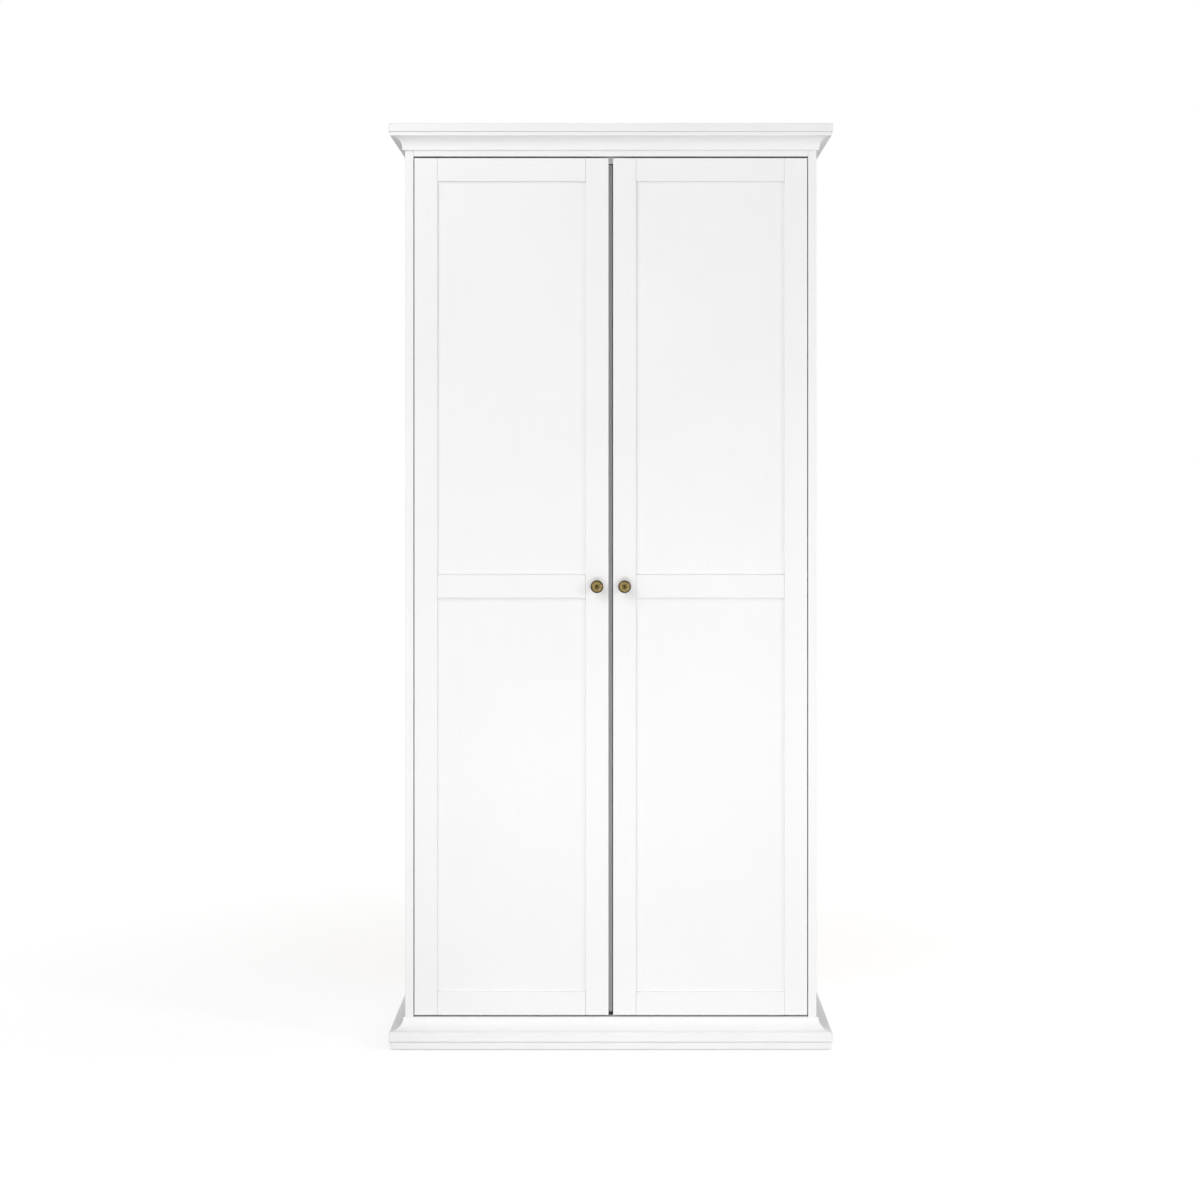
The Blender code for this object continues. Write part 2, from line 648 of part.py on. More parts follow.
def door(side, meshes):
    """One framed door with its knob, on an empty that stands on its hinge axis."""
    word = side_word(side)
    axis_empty = bpy.data.objects.new("door_" + word + "_axis", None)
    parts_collection.objects.link(axis_empty)
    axis_empty.location = pin_place(side, (DOOR_BOTTOM + DOOR_TOP) / 2)
    edge_x = side * (INNER - DOOR_HINGE_GAP)

    def from_edge(distance):
        return edge_x - side * distance

    groove_front = FRONT + PANEL_RECESS - GAP
    groove_back = FRONT + PANEL_RECESS + PANEL_THICKNESS + GAP
    tongue_front = FRONT + PANEL_RECESS
    tongue_back = tongue_front + PANEL_THICKNESS
    rail_start = STILE_WIDTH + GAP
    rail_end = DOOR_WIDTH - rail_start
    tongue = PANEL_GROOVE - GAP

    stiles = {"hinge": (0.0, STILE_WIDTH), "lock": (DOOR_WIDTH - STILE_WIDTH, DOOR_WIDTH)}
    for kind, (start, end) in stiles.items():
        stile = board(
            "door_" + word + "_stile_" + kind,
            (from_edge(start), FRONT, DOOR_BOTTOM),
            (from_edge(end), DOOR_BACK, DOOR_TOP),
            parent=axis_empty,
            edge=DOOR_ROUND,
            segments=2,
        )
        groove_start = end - PANEL_GROOVE if kind == "hinge" else start - GAP
        slot = block_tool(
            (from_edge(groove_start), groove_front, DOOR_BOTTOM - GAP),
            (from_edge(groove_start + PANEL_GROOVE + GAP), groove_back, DOOR_TOP + GAP),
        )
        combine(stile, slot, "DIFFERENCE")
        if kind == "hinge":
            for height in HINGE_HEIGHTS.values():
                bore = cylinder_mesh(CUP_RADIUS + GAP, 2 * (CUP_DEPTH + GAP), CUP_SIDES, "Y")
                tool = add_tool(bore, (from_edge(CUP_INSET), DOOR_BACK, height))
                combine(stile, tool, "DIFFERENCE")

    half_rail = RAIL_WIDTH / 2
    rails = {
        "bottom": (DOOR_BOTTOM, DOOR_BOTTOM + RAIL_WIDTH, False, True),
        "mid": (MID_RAIL_HEIGHT - half_rail, MID_RAIL_HEIGHT + half_rail, True, True),
        "top": (DOOR_TOP - RAIL_WIDTH, DOOR_TOP, True, False),
    }
    for kind, (low, high, groove_below, groove_above) in rails.items():
        rail = board(
            "door_" + word + "_rail_" + kind,
            (from_edge(rail_start), FRONT, low),
            (from_edge(rail_end), DOOR_BACK, high),
            parent=axis_empty,
        )
        tenon_low = low + (PANEL_GROOVE if groove_below else DOOR_ROUND)
        tenon_high = high - (PANEL_GROOVE if groove_above else DOOR_ROUND)
        tenon = block_tool(
            (from_edge(rail_start - tongue), tongue_front, tenon_low),
            (from_edge(rail_end + tongue), tongue_back, tenon_high),
        )
        combine(rail, tenon, "UNION")
        for wanted, start, end in (
            (groove_below, low - GAP, low + PANEL_GROOVE),
            (groove_above, high - PANEL_GROOVE, high + GAP),
        ):
            if wanted:
                slot = block_tool(
                    (from_edge(rail_start - PANEL_GROOVE), groove_front, start),
                    (from_edge(rail_end + PANEL_GROOVE), groove_back, end),
                )
                combine(rail, slot, "DIFFERENCE")

    bite = PANEL_GROOVE - PANEL_PLAY
    panels = {
        "lower": (DOOR_BOTTOM + RAIL_WIDTH - bite, MID_RAIL_HEIGHT - half_rail + bite),
        "upper": (MID_RAIL_HEIGHT + half_rail - bite, DOOR_TOP - RAIL_WIDTH + bite),
    }
    for kind, (low, high) in panels.items():
        board(
            "door_" + word + "_panel_" + kind,
            (from_edge(STILE_WIDTH - bite), tongue_front, low),
            (from_edge(DOOR_WIDTH - STILE_WIDTH + bite), tongue_back, high),
            parent=axis_empty,
            edge=0.0003,
        )

    knob_place = (from_edge(DOOR_WIDTH - STILE_WIDTH / 2), FRONT - GAP, MID_RAIL_HEIGHT)
    knob = add_part(
        "knob_" + word, meshes["knob"], "antique_brass", knob_place, (pi / 2, 0, 0), axis_empty
    )
    knob.data.shade_smooth()
    knob.data.set_sharp_from_angle(angle=radians(35))
    hinges(side, axis_empty, meshes)
    if side == LEFT:
        strip_edge = DOOR_CENTRE_GAP / 2 - STRIP_CLEARANCE
        board(
            "closing_strip",
            (strip_edge - STRIP_WIDTH, DOOR_BACK + GAP, DOOR_BOTTOM + STRIP_BOTTOM),
            (strip_edge, DOOR_BACK + GAP + STRIP_THICKNESS, DOOR_TOP - STRIP_TOP),
            parent=axis_empty,
            edge=0.001,
        )


for old in list(bpy.data.objects):
    bpy.data.objects.remove(old)
parts_collection = new_collection("wardrobe")
tools_collection = new_collection("wardrobe_cutters")

carcass()
mouldings()
back()
fittings()
shared_meshes = {"cup": cup_mesh(), "arm": arm_mesh(), "plate": plate_mesh(), "knob": knob_mesh()}
for door_side in (LEFT, RIGHT):
    door(door_side, shared_meshes)
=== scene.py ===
import json
from math import cos, pi, radians, sin

import bmesh
import bpy
from mathutils import Matrix, Vector


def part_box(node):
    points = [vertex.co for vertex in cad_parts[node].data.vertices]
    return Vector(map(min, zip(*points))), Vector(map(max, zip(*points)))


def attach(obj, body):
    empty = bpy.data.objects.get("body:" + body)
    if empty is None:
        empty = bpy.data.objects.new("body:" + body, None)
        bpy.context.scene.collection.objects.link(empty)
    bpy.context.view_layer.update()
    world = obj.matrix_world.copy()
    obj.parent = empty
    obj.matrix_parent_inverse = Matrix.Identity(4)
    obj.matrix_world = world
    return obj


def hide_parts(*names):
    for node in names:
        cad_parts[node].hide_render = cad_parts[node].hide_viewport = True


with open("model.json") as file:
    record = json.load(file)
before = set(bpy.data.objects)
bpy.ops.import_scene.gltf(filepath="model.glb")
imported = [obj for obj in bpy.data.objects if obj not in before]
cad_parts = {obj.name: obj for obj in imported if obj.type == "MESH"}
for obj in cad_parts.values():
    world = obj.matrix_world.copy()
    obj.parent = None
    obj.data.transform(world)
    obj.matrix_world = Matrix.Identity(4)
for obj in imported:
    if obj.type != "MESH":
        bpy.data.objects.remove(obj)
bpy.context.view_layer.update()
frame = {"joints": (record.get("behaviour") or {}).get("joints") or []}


# ---- Studio -------------------------------------------------------------------------------
# A white cove seen straight on: the lens is level and a little right of the middle, so its
# rise and shift hold the wardrobe upright in the picture.  The camera is far back on a long lens.
camera = bpy.data.objects.new("camera", bpy.data.cameras.new("camera"))
bpy.context.scene.collection.objects.link(camera)
camera.location = (0.020, -5.340, 1.243)
camera.rotation_euler = (pi / 2, 0, 0)
camera.data.lens = 70
camera.data.sensor_width = 36
camera.data.shift_x = -0.01667
camera.data.shift_y = -0.10333
bpy.context.scene.camera = camera
bpy.context.scene.view_settings.view_transform = "Standard"

world = bpy.data.worlds.new("studio")
bpy.context.scene.world = world
world.use_nodes = True
room = world.node_tree.nodes["Background"]
room.inputs["Color"].default_value = (1.0, 1.0, 1.0, 1.0)
room.inputs["Strength"].default_value = 0.39
white_paper = world.node_tree.nodes.new("ShaderNodeBackground")
white_paper.inputs["Color"].default_value = (1.0, 1.0, 1.0, 1.0)
white_paper.inputs["Strength"].default_value = 1.0
seen = world.node_tree.nodes.new("ShaderNodeLightPath")
either = world.node_tree.nodes.new("ShaderNodeMixShader")
world.node_tree.links.new(seen.outputs["Is Camera Ray"], either.inputs[0])
world.node_tree.links.new(room.outputs["Background"], either.inputs[1])
world.node_tree.links.new(white_paper.outputs["Background"], either.inputs[2])
world.node_tree.links.new(either.outputs["Shader"], world.node_tree.nodes["World Output"].inputs["Surface"])


def shader_material(name, colour, roughness, metallic=0.0):
    """A material with one Principled shader; returns it with its nodes, links and shader."""
    material = bpy.data.materials.new(name)
    material.use_nodes = True
    nodes = material.node_tree.nodes
    shader = nodes["Principled BSDF"]
    shader.inputs["Base Color"].default_value = (*colour, 1.0)
    shader.inputs["Roughness"].default_value = roughness
    shader.inputs["Metallic"].default_value = metallic
    return material, nodes, material.node_tree.links, shader


def new_object(name, mesh, material=None):
    """Link a mesh into the scene at the origin."""
    item = bpy.data.objects.new(name, mesh)
    bpy.context.scene.collection.objects.link(item)
    if material is not None:
        mesh.materials.clear()
        mesh.materials.append(material)
    return item


floor_paint, nodes, links, shader = shader_material("floor_white", (0.93, 0.93, 0.93), 0.9)
shader.inputs["Emission Color"].default_value = (1.0, 1.0, 1.0, 1.0)
ground = nodes.new("ShaderNodeTexCoord")
away = nodes.new("ShaderNodeVectorMath")
away.operation = "LENGTH"
links.new(ground.outputs["Object"], away.inputs[0])
paling = nodes.new("ShaderNodeMapRange")
paling.interpolation_type = "SMOOTHSTEP"
paling.inputs["From Min"].default_value = 0.7
paling.inputs["From Max"].default_value = 2.6
paling.inputs["To Min"].default_value = 0.57
paling.inputs["To Max"].default_value = 0.67
links.new(away.outputs["Value"], paling.inputs["Value"])
floor_seen = nodes.new("ShaderNodeLightPath")
lift = nodes.new("ShaderNodeMath")
lift.operation = "MULTIPLY"
links.new(floor_seen.outputs["Is Camera Ray"], lift.inputs[0])
links.new(paling.outputs["Result"], lift.inputs[1])
links.new(lift.outputs["Value"], shader.inputs["Emission Strength"])
bm = bmesh.new()
bmesh.ops.create_grid(bm, x_segments=1, y_segments=1, size=40.0)
floor_mesh = bpy.data.meshes.new("floor")
bm.to_mesh(floor_mesh)
bm.free()
floor = new_object("floor", floor_mesh, floor_paint)


def soft_light(name, place, target, width, height, power):
    """A rectangular softbox aimed at a point."""
    data = bpy.data.lights.new(name, "AREA")
    data.shape = "RECTANGLE"
    data.size = width
    data.size_y = height
    data.energy = power
    lamp = bpy.data.objects.new(name, data)
    bpy.context.scene.collection.objects.link(lamp)
    lamp.location = place
    lamp.rotation_euler = (Vector(target) - Vector(place)).to_track_quat("-Z", "Y").to_euler()
    return lamp


object_only = bpy.data.collections.new("object_only")
object_only.objects.link(floor)
object_only.collection_objects[0].light_linking.link_state = "EXCLUDE"
soft_light("low_right", (0.9, -3.2, 0.8), (0.2, -0.25, 0.8), 0.9, 0.9, 8)
soft_light("right", (2.3, -2.0, 1.5), (0.2, -0.25, 0.9), 0.45, 0.45, 13)
for lamp in (
    soft_light("high_left", (-1.3, -2.0, 2.9), (-0.3, -0.25, 1.9), 1.3, 1.3, 15),
    soft_light("left", (-2.4, -3.2, 2.6), (-0.3, -0.25, 1.4), 3.0, 3.0, 29),
    soft_light("low_left", (-0.6, -2.6, 0.5), (-0.2, -0.25, 0.5), 1.0, 0.8, 3.5),
    soft_light("side_left", (-3.0, -0.6, 1.8), (-0.5, 0.0, 0.8), 1.0, 1.0, 5),
    soft_light("side_right", (2.8, -0.4, 1.8), (0.5, 0.0, 0.3), 1.2, 1.2, 11),
    soft_light("foot", (0.0, -2.4, 0.25), (0.0, -0.25, 0.2), 1.6, 0.4, 11),
    soft_light("behind", (0.0, 4.6, 2.2), (0.0, 0.3, 1.0), 0.7, 3.0, 90),
):
    lamp.light_linking.receiver_collection = object_only


# ---- Side panels --------------------------------------------------------------------------
# 18 mm board, wrapped in white foil with a faint pressed grain.  The long inner faces have
# rows of bored 5 mm holes for the shelf pins, and a groove near the rear edge for the back.
def lacquer(name, stretch, tone=0.885):
    """Satin white foil: stretch gives the pattern's frequency along X, Y and Z."""
    material, nodes, links, shader = shader_material(name, (tone, tone, tone), 0.38)
    shader.inputs["Specular IOR Level"].default_value = 0.42
    place = nodes.new("ShaderNodeTexCoord")
    mapping = nodes.new("ShaderNodeMapping")
    mapping.inputs["Scale"].default_value = stretch
    links.new(place.outputs["Object"], mapping.inputs["Vector"])
    pores = nodes.new("ShaderNodeTexNoise")
    pores.inputs["Scale"].default_value = 1.0
    pores.inputs["Detail"].default_value = 4.0
    pores.inputs["Roughness"].default_value = 0.65
    links.new(mapping.outputs["Vector"], pores.inputs["Vector"])
    cloud = nodes.new("ShaderNodeTexNoise")
    cloud.inputs["Scale"].default_value = 3.1
    cloud.inputs["Detail"].default_value = 3.0
    links.new(place.outputs["Object"], cloud.inputs["Vector"])
    tint = nodes.new("ShaderNodeValToRGB")
    tint.color_ramp.elements[0].position = 0.35
    tint.color_ramp.elements[0].color = (tone * 0.988, tone * 0.988, tone * 0.986, 1.0)
    tint.color_ramp.elements[1].position = 0.65
    tint.color_ramp.elements[1].color = (tone * 1.008, tone * 1.008, tone * 1.006, 1.0)
    links.new(cloud.outputs["Fac"], tint.inputs["Fac"])
    grain = nodes.new("ShaderNodeMix")
    grain.data_type = "RGBA"
    grain.blend_type = "MULTIPLY"
    shade = nodes.new("ShaderNodeValToRGB")
    shade.color_ramp.elements[0].position = 0.30
    shade.color_ramp.elements[0].color = (0.975, 0.975, 0.972, 1.0)
    shade.color_ramp.elements[1].position = 0.52
    shade.color_ramp.elements[1].color = (1.0, 1.0, 1.0, 1.0)
    links.new(pores.outputs["Fac"], shade.inputs["Fac"])
    grain.inputs["Factor"].default_value = 0.6
    links.new(tint.outputs["Color"], grain.inputs["A"])
    links.new(shade.outputs["Color"], grain.inputs["B"])
    links.new(grain.outputs["Result"], shader.inputs["Base Color"])
    polish = nodes.new("ShaderNodeMapRange")
    polish.inputs["To Min"].default_value = 0.33
    polish.inputs["To Max"].default_value = 0.46
    links.new(cloud.outputs["Fac"], polish.inputs["Value"])
    links.new(polish.outputs["Result"], shader.inputs["Roughness"])
    relief = nodes.new("ShaderNodeBump")
    relief.inputs["Strength"].default_value = 0.22
    relief.inputs["Distance"].default_value = 0.00012
    links.new(pores.outputs["Fac"], relief.inputs["Height"])
    links.new(relief.outputs["Normal"], shader.inputs["Normal"])
    return material


white_upright = lacquer("white_foil_upright", (420, 420, 9))
white_across = lacquer("white_foil_across", (9, 420, 420))
white_deep = lacquer("white_foil_deep", (420, 9, 420))


def settle(item):
    """Apply an object's modifiers, leaving a plain mesh with clean shading."""
    item.data.shade_smooth()
    item.data.set_sharp_from_angle(angle=radians(38))
    weigh = item.modifiers.new("weigh", "WEIGHTED_NORMAL")
    weigh.keep_sharp = True
    bpy.context.view_layer.update()
    evaluated = item.evaluated_get(bpy.context.evaluated_depsgraph_get())
    mesh = bpy.data.meshes.new_from_object(evaluated)
    item.modifiers.clear()
    item.data = mesh
    return item


def carve(item, cutter_mesh):
    """Cut one closed mesh out of another and apply it."""
    cutter = new_object("cutter", cutter_mesh)
    cut = item.modifiers.new("cut", "BOOLEAN")
    cut.operation = "DIFFERENCE"
    cut.solver = "EXACT"
    cut.object = cutter
    bpy.context.view_layer.update()
    evaluated = item.evaluated_get(bpy.context.evaluated_depsgraph_get())
    mesh = bpy.data.meshes.new_from_object(evaluated)
    item.modifiers.clear()
    item.data = mesh
    bpy.data.objects.remove(cutter)
    return item


def block_mesh(low, high, radius=0.0, segments=3):
    """A block between two corners with rounded edges."""
    low = Vector(low)
    high = Vector(high)
    bm = bmesh.new()
    bmesh.ops.create_cube(bm, size=1.0)
    bmesh.ops.scale(bm, vec=high - low, verts=bm.verts)
    bmesh.ops.translate(bm, vec=(low + high) / 2, verts=bm.verts)
    if radius > 0:
        bmesh.ops.bevel(
            bm, geom=bm.edges[:], offset=radius, segments=segments, profile=0.5, affect="EDGES"
        )
    mesh = bpy.data.meshes.new("block")
    bm.to_mesh(mesh)
    bm.free()
    return mesh


def stands_for(item, body, slot, *nodes):
    """Say what a finished piece rides on and the solids it shows; the slot, its finish, is not used."""
    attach(item, body)
    if nodes:
        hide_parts(*nodes)
    return item


def board(node, material, radius=0.0009, body="carcass", slot="white_paint"):
    """A board in the place of a solid, its edges eased by hand."""
    low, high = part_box(node)
    item = new_object(node + "_board", block_mesh(low, high, radius), material)
    stands_for(item, body, slot, node)
    return item


def points_mesh(points):
    """Loose points for a node tree to put things on."""
    mesh = bpy.data.meshes.new("points")
    mesh.from_pydata([tuple(point) for point in points], [], [])
    return mesh


def new_tree(name, sizes):
    """An empty geometry tree with one named input for each size."""
    tree = bpy.data.node_groups.new(name, "GeometryNodeTree")
    tree.interface.new_socket("Geometry", in_out="INPUT", socket_type="NodeSocketGeometry")
    for size_name, kind in sizes.items():
        tree.interface.new_socket(size_name, in_out="INPUT", socket_type=kind)
    tree.interface.new_socket("Geometry", in_out="OUTPUT", socket_type="NodeSocketGeometry")
    return tree, tree.nodes.new("NodeGroupInput"), tree.nodes.new("NodeGroupOutput")


def grow(name, tree, points, **sizes):
    """Run a geometry tree on loose points and keep its result as a plain mesh object."""
    item = new_object(name, points_mesh(points))
    run = item.modifiers.new("run", "NODES")
    run.node_group = tree
    for socket in tree.interface.items_tree:
        if socket.item_type == "SOCKET" and socket.in_out == "INPUT" and socket.name in sizes:
            run[socket.identifier] = sizes[socket.name]
    bpy.context.view_layer.update()
    evaluated = item.evaluated_get(bpy.context.evaluated_depsgraph_get())
    mesh = bpy.data.meshes.new_from_object(evaluated)
    item.modifiers.clear()
    item.data = mesh
    return item


def copies_tree(name, build_copy, sizes):
    """A tree that sets one copy, made by build_copy, on every point, turned to face a direction."""
    sizes = {**sizes, "Facing": "NodeSocketVector", "Finish": "NodeSocketMaterial"}
    tree, start, end = new_tree(name, sizes)
    nodes = tree.nodes
    links = tree.links
    copy = build_copy(nodes, links, start)
    align = nodes.new("FunctionNodeAlignRotationToVector")
    align.axis = "Z"
    links.new(start.outputs["Facing"], align.inputs["Vector"])
    place = nodes.new("GeometryNodeInstanceOnPoints")
    links.new(start.outputs["Geometry"], place.inputs["Points"])
    links.new(copy, place.inputs["Instance"])
    links.new(align.outputs["Rotation"], place.inputs["Rotation"])
    real = nodes.new("GeometryNodeRealizeInstances")
    links.new(place.outputs["Instances"], real.inputs["Geometry"])
    finish = nodes.new("GeometryNodeSetMaterial")
    links.new(real.outputs["Geometry"], finish.inputs["Geometry"])
    links.new(start.outputs["Finish"], finish.inputs["Material"])
    links.new(finish.outputs["Geometry"], end.inputs["Geometry"])
    return tree


def rod_copy(nodes, links, start):
    """A plain rod about its point: the drill for a row of holes."""
    rod = nodes.new("GeometryNodeMeshCylinder")
    rod.inputs["Vertices"].default_value = 24
    links.new(start.outputs["Radius"], rod.inputs["Radius"])
    links.new(start.outputs["Length"], rod.inputs["Depth"])
    return rod.outputs["Mesh"]


drill_tree = copies_tree(
    "row_of_holes", rod_copy, {"Radius": "NodeSocketFloat", "Length": "NodeSocketFloat"}
)
HOLE_PITCH = 0.032
HOLE_DEPTH = 0.011
shelf_low, shelf_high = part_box("hat_shelf")
pin_rows = (shelf_low.y + 0.050, shelf_high.y - 0.055)
PIN_RADIUS = 0.0025
pin_level = shelf_low.z - PIN_RADIUS - 0.0002
groove_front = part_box("back_panel_left")[0].y - 0.0003
groove_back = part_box("back_panel_left")[1].y + 0.0003
GROOVE_DEPTH = 0.006

for word, side in (("left", -1), ("right", 1)):
    low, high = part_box("side_panel_" + word)
    inner = high.x if side < 0 else low.x
    panel = board("side_panel_" + word, white_upright)
    groove = block_mesh(
        (min(inner + side * GROOVE_DEPTH, inner - side * 0.002), groove_front, low.z - 0.01),
        (max(inner + side * GROOVE_DEPTH, inner - side * 0.002), groove_back, high.z + 0.01),
    )
    carve(panel, groove)
    holes = [
        (inner, row, pin_level + step * HOLE_PITCH) for row in pin_rows for step in range(-4, 4)
    ]
    drill = grow(
        "drill", drill_tree, holes, Radius=PIN_RADIUS + 0.0001, Length=2 * HOLE_DEPTH, Facing=(1, 0, 0)
    )
    drill_mesh = drill.data
    bpy.data.objects.remove(drill)
    carve(panel, drill_mesh)
    panel.data.materials.clear()
    panel.data.materials.append(white_upright)
    settle(panel)


# ---- Bottom, top and the rails between the sides --------------------------------------------
# The same foiled board.  The frieze rail closes the front over the doors and the base rail
# carries the bottom panel's front edge behind the plinth.
for node, material in (
    ("bottom_panel", white_across),
    ("top_panel", white_across),
    ("base_rail", white_across),
    ("frieze_rail", white_across),
):
    settle(board(node, material))


# ---- Back ---------------------------------------------------------------------------------
# Two sheets of 3 mm hardboard, white foil inside and bare brown behind, slid into the sides'
# grooves.  A plastic strip joins them, and wire nails hold them to the top, bottom and shelf.
def bare_hardboard():
    """Pressed brown fibre, mottled and slightly fuzzy."""
    material, nodes, links, shader = shader_material("bare_hardboard", (0.50, 0.38, 0.25), 0.78)
    shader.inputs["Specular IOR Level"].default_value = 0.25
    place = nodes.new("ShaderNodeTexCoord")
    fibres = nodes.new("ShaderNodeTexNoise")
    fibres.inputs["Scale"].default_value = 420.0
    fibres.inputs["Detail"].default_value = 6.0
    fibres.inputs["Distortion"].default_value = 1.2
    links.new(place.outputs["Object"], fibres.inputs["Vector"])
    mottle = nodes.new("ShaderNodeTexNoise")
    mottle.inputs["Scale"].default_value = 14.0
    mottle.inputs["Detail"].default_value = 5.0
    links.new(place.outputs["Object"], mottle.inputs["Vector"])
    mix = nodes.new("ShaderNodeMath")
    mix.operation = "MULTIPLY_ADD"
    mix.inputs[1].default_value = 0.45
    links.new(mottle.outputs["Fac"], mix.inputs[0])
    links.new(fibres.outputs["Fac"], mix.inputs[2])
    ramp = nodes.new("ShaderNodeValToRGB")
    ramp.color_ramp.elements[0].position = 0.45
    ramp.color_ramp.elements[0].color = (0.40, 0.285, 0.175, 1.0)
    ramp.color_ramp.elements[1].position = 0.95
    ramp.color_ramp.elements[1].color = (0.58, 0.450, 0.310, 1.0)
    links.new(mix.outputs["Value"], ramp.inputs["Fac"])
    links.new(ramp.outputs["Color"], shader.inputs["Base Color"])
    relief = nodes.new("ShaderNodeBump")
    relief.inputs["Strength"].default_value = 0.35
    relief.inputs["Distance"].default_value = 0.0002
    links.new(fibres.outputs["Fac"], relief.inputs["Height"])
    links.new(relief.outputs["Normal"], shader.inputs["Normal"])
    return material


def moulded_plastic(name, tone):
    """White plastic with the fine sparkle of a moulded surface."""
    material, nodes, links, shader = shader_material(name, (tone, tone, tone * 0.985), 0.48)
    place = nodes.new("ShaderNodeTexCoord")
    speck = nodes.new("ShaderNodeTexNoise")
    speck.inputs["Scale"].default_value = 1400.0
    speck.inputs["Detail"].default_value = 2.0
    links.new(place.outputs["Object"], speck.inputs["Vector"])
    dull = nodes.new("ShaderNodeMapRange")
    dull.inputs["To Min"].default_value = 0.40
    dull.inputs["To Max"].default_value = 0.58
    links.new(speck.outputs["Fac"], dull.inputs["Value"])
    links.new(dull.outputs["Result"], shader.inputs["Roughness"])
    relief = nodes.new("ShaderNodeBump")
    relief.inputs["Strength"].default_value = 0.15
    relief.inputs["Distance"].default_value = 0.0001
    links.new(speck.outputs["Fac"], relief.inputs["Height"])
    links.new(relief.outputs["Normal"], shader.inputs["Normal"])
    return material


def plated_steel(name, colour, low, high):
    """Nickel plate over pressed steel: roughness clouds between low and high."""
    material, nodes, links, shader = shader_material(name, colour, low, 1.0)
    place = nodes.new("ShaderNodeTexCoord")
    cloud = nodes.new("ShaderNodeTexNoise")
    cloud.inputs["Scale"].default_value = 160.0
    cloud.inputs["Detail"].default_value = 4.0
    links.new(place.outputs["Object"], cloud.inputs["Vector"])
    dull = nodes.new("ShaderNodeMapRange")
    dull.inputs["From Min"].default_value = 0.3
    dull.inputs["From Max"].default_value = 0.7
    dull.inputs["To Min"].default_value = low
    dull.inputs["To Max"].default_value = high
    links.new(cloud.outputs["Fac"], dull.inputs["Value"])
    links.new(dull.outputs["Result"], shader.inputs["Roughness"])
    tint = nodes.new("ShaderNodeValToRGB")
    tint.color_ramp.elements[0].position = 0.3
    tint.color_ramp.elements[0].color = (*[channel * 0.9 for channel in colour], 1.0)
    tint.color_ramp.elements[1].position = 0.7
    tint.color_ramp.elements[1].color = (*colour, 1.0)
    links.new(cloud.outputs["Fac"], tint.inputs["Fac"])
    links.new(tint.outputs["Color"], shader.inputs["Base Color"])
    return material


hardboard = bare_hardboard()
strip_plastic = moulded_plastic("white_strip_plastic", 0.80)
nickel = plated_steel("nickel_plate", (0.66, 0.65, 0.63), 0.20, 0.36)
for word in ("left", "right"):
    sheet = board("back_panel_" + word, white_upright, 0.0004, slot="hardboard")
    sheet.data.materials.append(hardboard)
    for face in sheet.data.polygons:
        if face.normal.y > 0.2 or abs(face.normal.y) < 0.2:
            face.material_index = 1
    settle(sheet)
strip_low, strip_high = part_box("back_joint_strip")
STRIP_FLANGE = 0.001
flange = block_mesh((strip_low.x, strip_high.y - STRIP_FLANGE, strip_low.z), strip_high, 0.0004, 2)
web = block_mesh(
    (-0.0006, strip_low.y, strip_low.z + 0.0004), (0.0006, strip_high.y - STRIP_FLANGE, strip_high.z - 0.0004)
)


def merge(name, meshes, material=None):
    """Several meshes as one object."""
    bm = bmesh.new()
    for mesh in meshes:
        bm.from_mesh(mesh)
    joined = bpy.data.meshes.new(name)
    bm.to_mesh(joined)
    bm.free()
    return new_object(name, joined, material)


joint_strip = merge("back_joint_profile", [flange, web], strip_plastic)
settle(stands_for(joint_strip, "carcass", "white_plastic", "back_joint_strip"))


def dome_copy(nodes, links, start):
    """A low round head: the top part of a flattened sphere, seated just under its surface."""
    ball = nodes.new("GeometryNodeMeshUVSphere")
    ball.inputs["Segments"].default_value = 16
    ball.inputs["Rings"].default_value = 8
    ball.inputs["Radius"].default_value = 1.0
    shape = nodes.new("GeometryNodeTransform")
    size = nodes.new("ShaderNodeCombineXYZ")
    links.new(start.outputs["Radius"], size.inputs["X"])
    links.new(start.outputs["Radius"], size.inputs["Y"])
    links.new(start.outputs["Height"], size.inputs["Z"])
    links.new(ball.outputs["Mesh"], shape.inputs["Geometry"])
    links.new(size.outputs["Vector"], shape.inputs["Scale"])
    return shape.outputs["Geometry"]


nail_tree = copies_tree(
    "row_of_nails", dome_copy, {"Radius": "NodeSocketFloat", "Height": "NodeSocketFloat"}
)
NAIL_STEP = 0.095
back_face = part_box("back_panel_left")[1].y
levels = [(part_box(node)[0].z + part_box(node)[1].z) / 2 for node in ("bottom_panel", "hat_shelf", "top_panel")]
sheet_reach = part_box("bottom_panel")[1].x - 0.012
nails = []
for level in levels:
    count = 4
    for side in (-1, 1):
        for step in range(count + 1):
            across = 0.024 + (sheet_reach - 0.024) * step / count
            nails.append((side * across, back_face, level + 0.0006 * side * (step % 3 - 1)))
nail_heads = grow("back_nails", nail_tree, nails, Radius=0.0017, Height=0.0006, Facing=(0, 1, 0), Finish=nickel)
nail_heads.data.shade_smooth()
stands_for(nail_heads, "carcass", "nickel_steel")


# ---- Cornice and plinth -----------------------------------------------------------------------
# A thick cap board on a coved cornice, and a coved plinth with a reeded foot.  Both mouldings
# are cut at 45 degrees at the front corners and glued to the carcass, front and sides.
cap = board("cornice_cap", white_across, 0.0014)
settle(cap)

carcass_low, carcass_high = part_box("side_panel_left")[0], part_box("side_panel_right")[1]
ARC_STEPS = 24


def arc(centre, radii, start, end, steps=ARC_STEPS):
    """Points on an ellipse between two angles in degrees."""
    points = []
    for step in range(steps + 1):
        angle = radians(start + (end - start) * step / steps)
        points.append((centre[0] + radii[0] * cos(angle), centre[1] + radii[1] * sin(angle)))
    return points


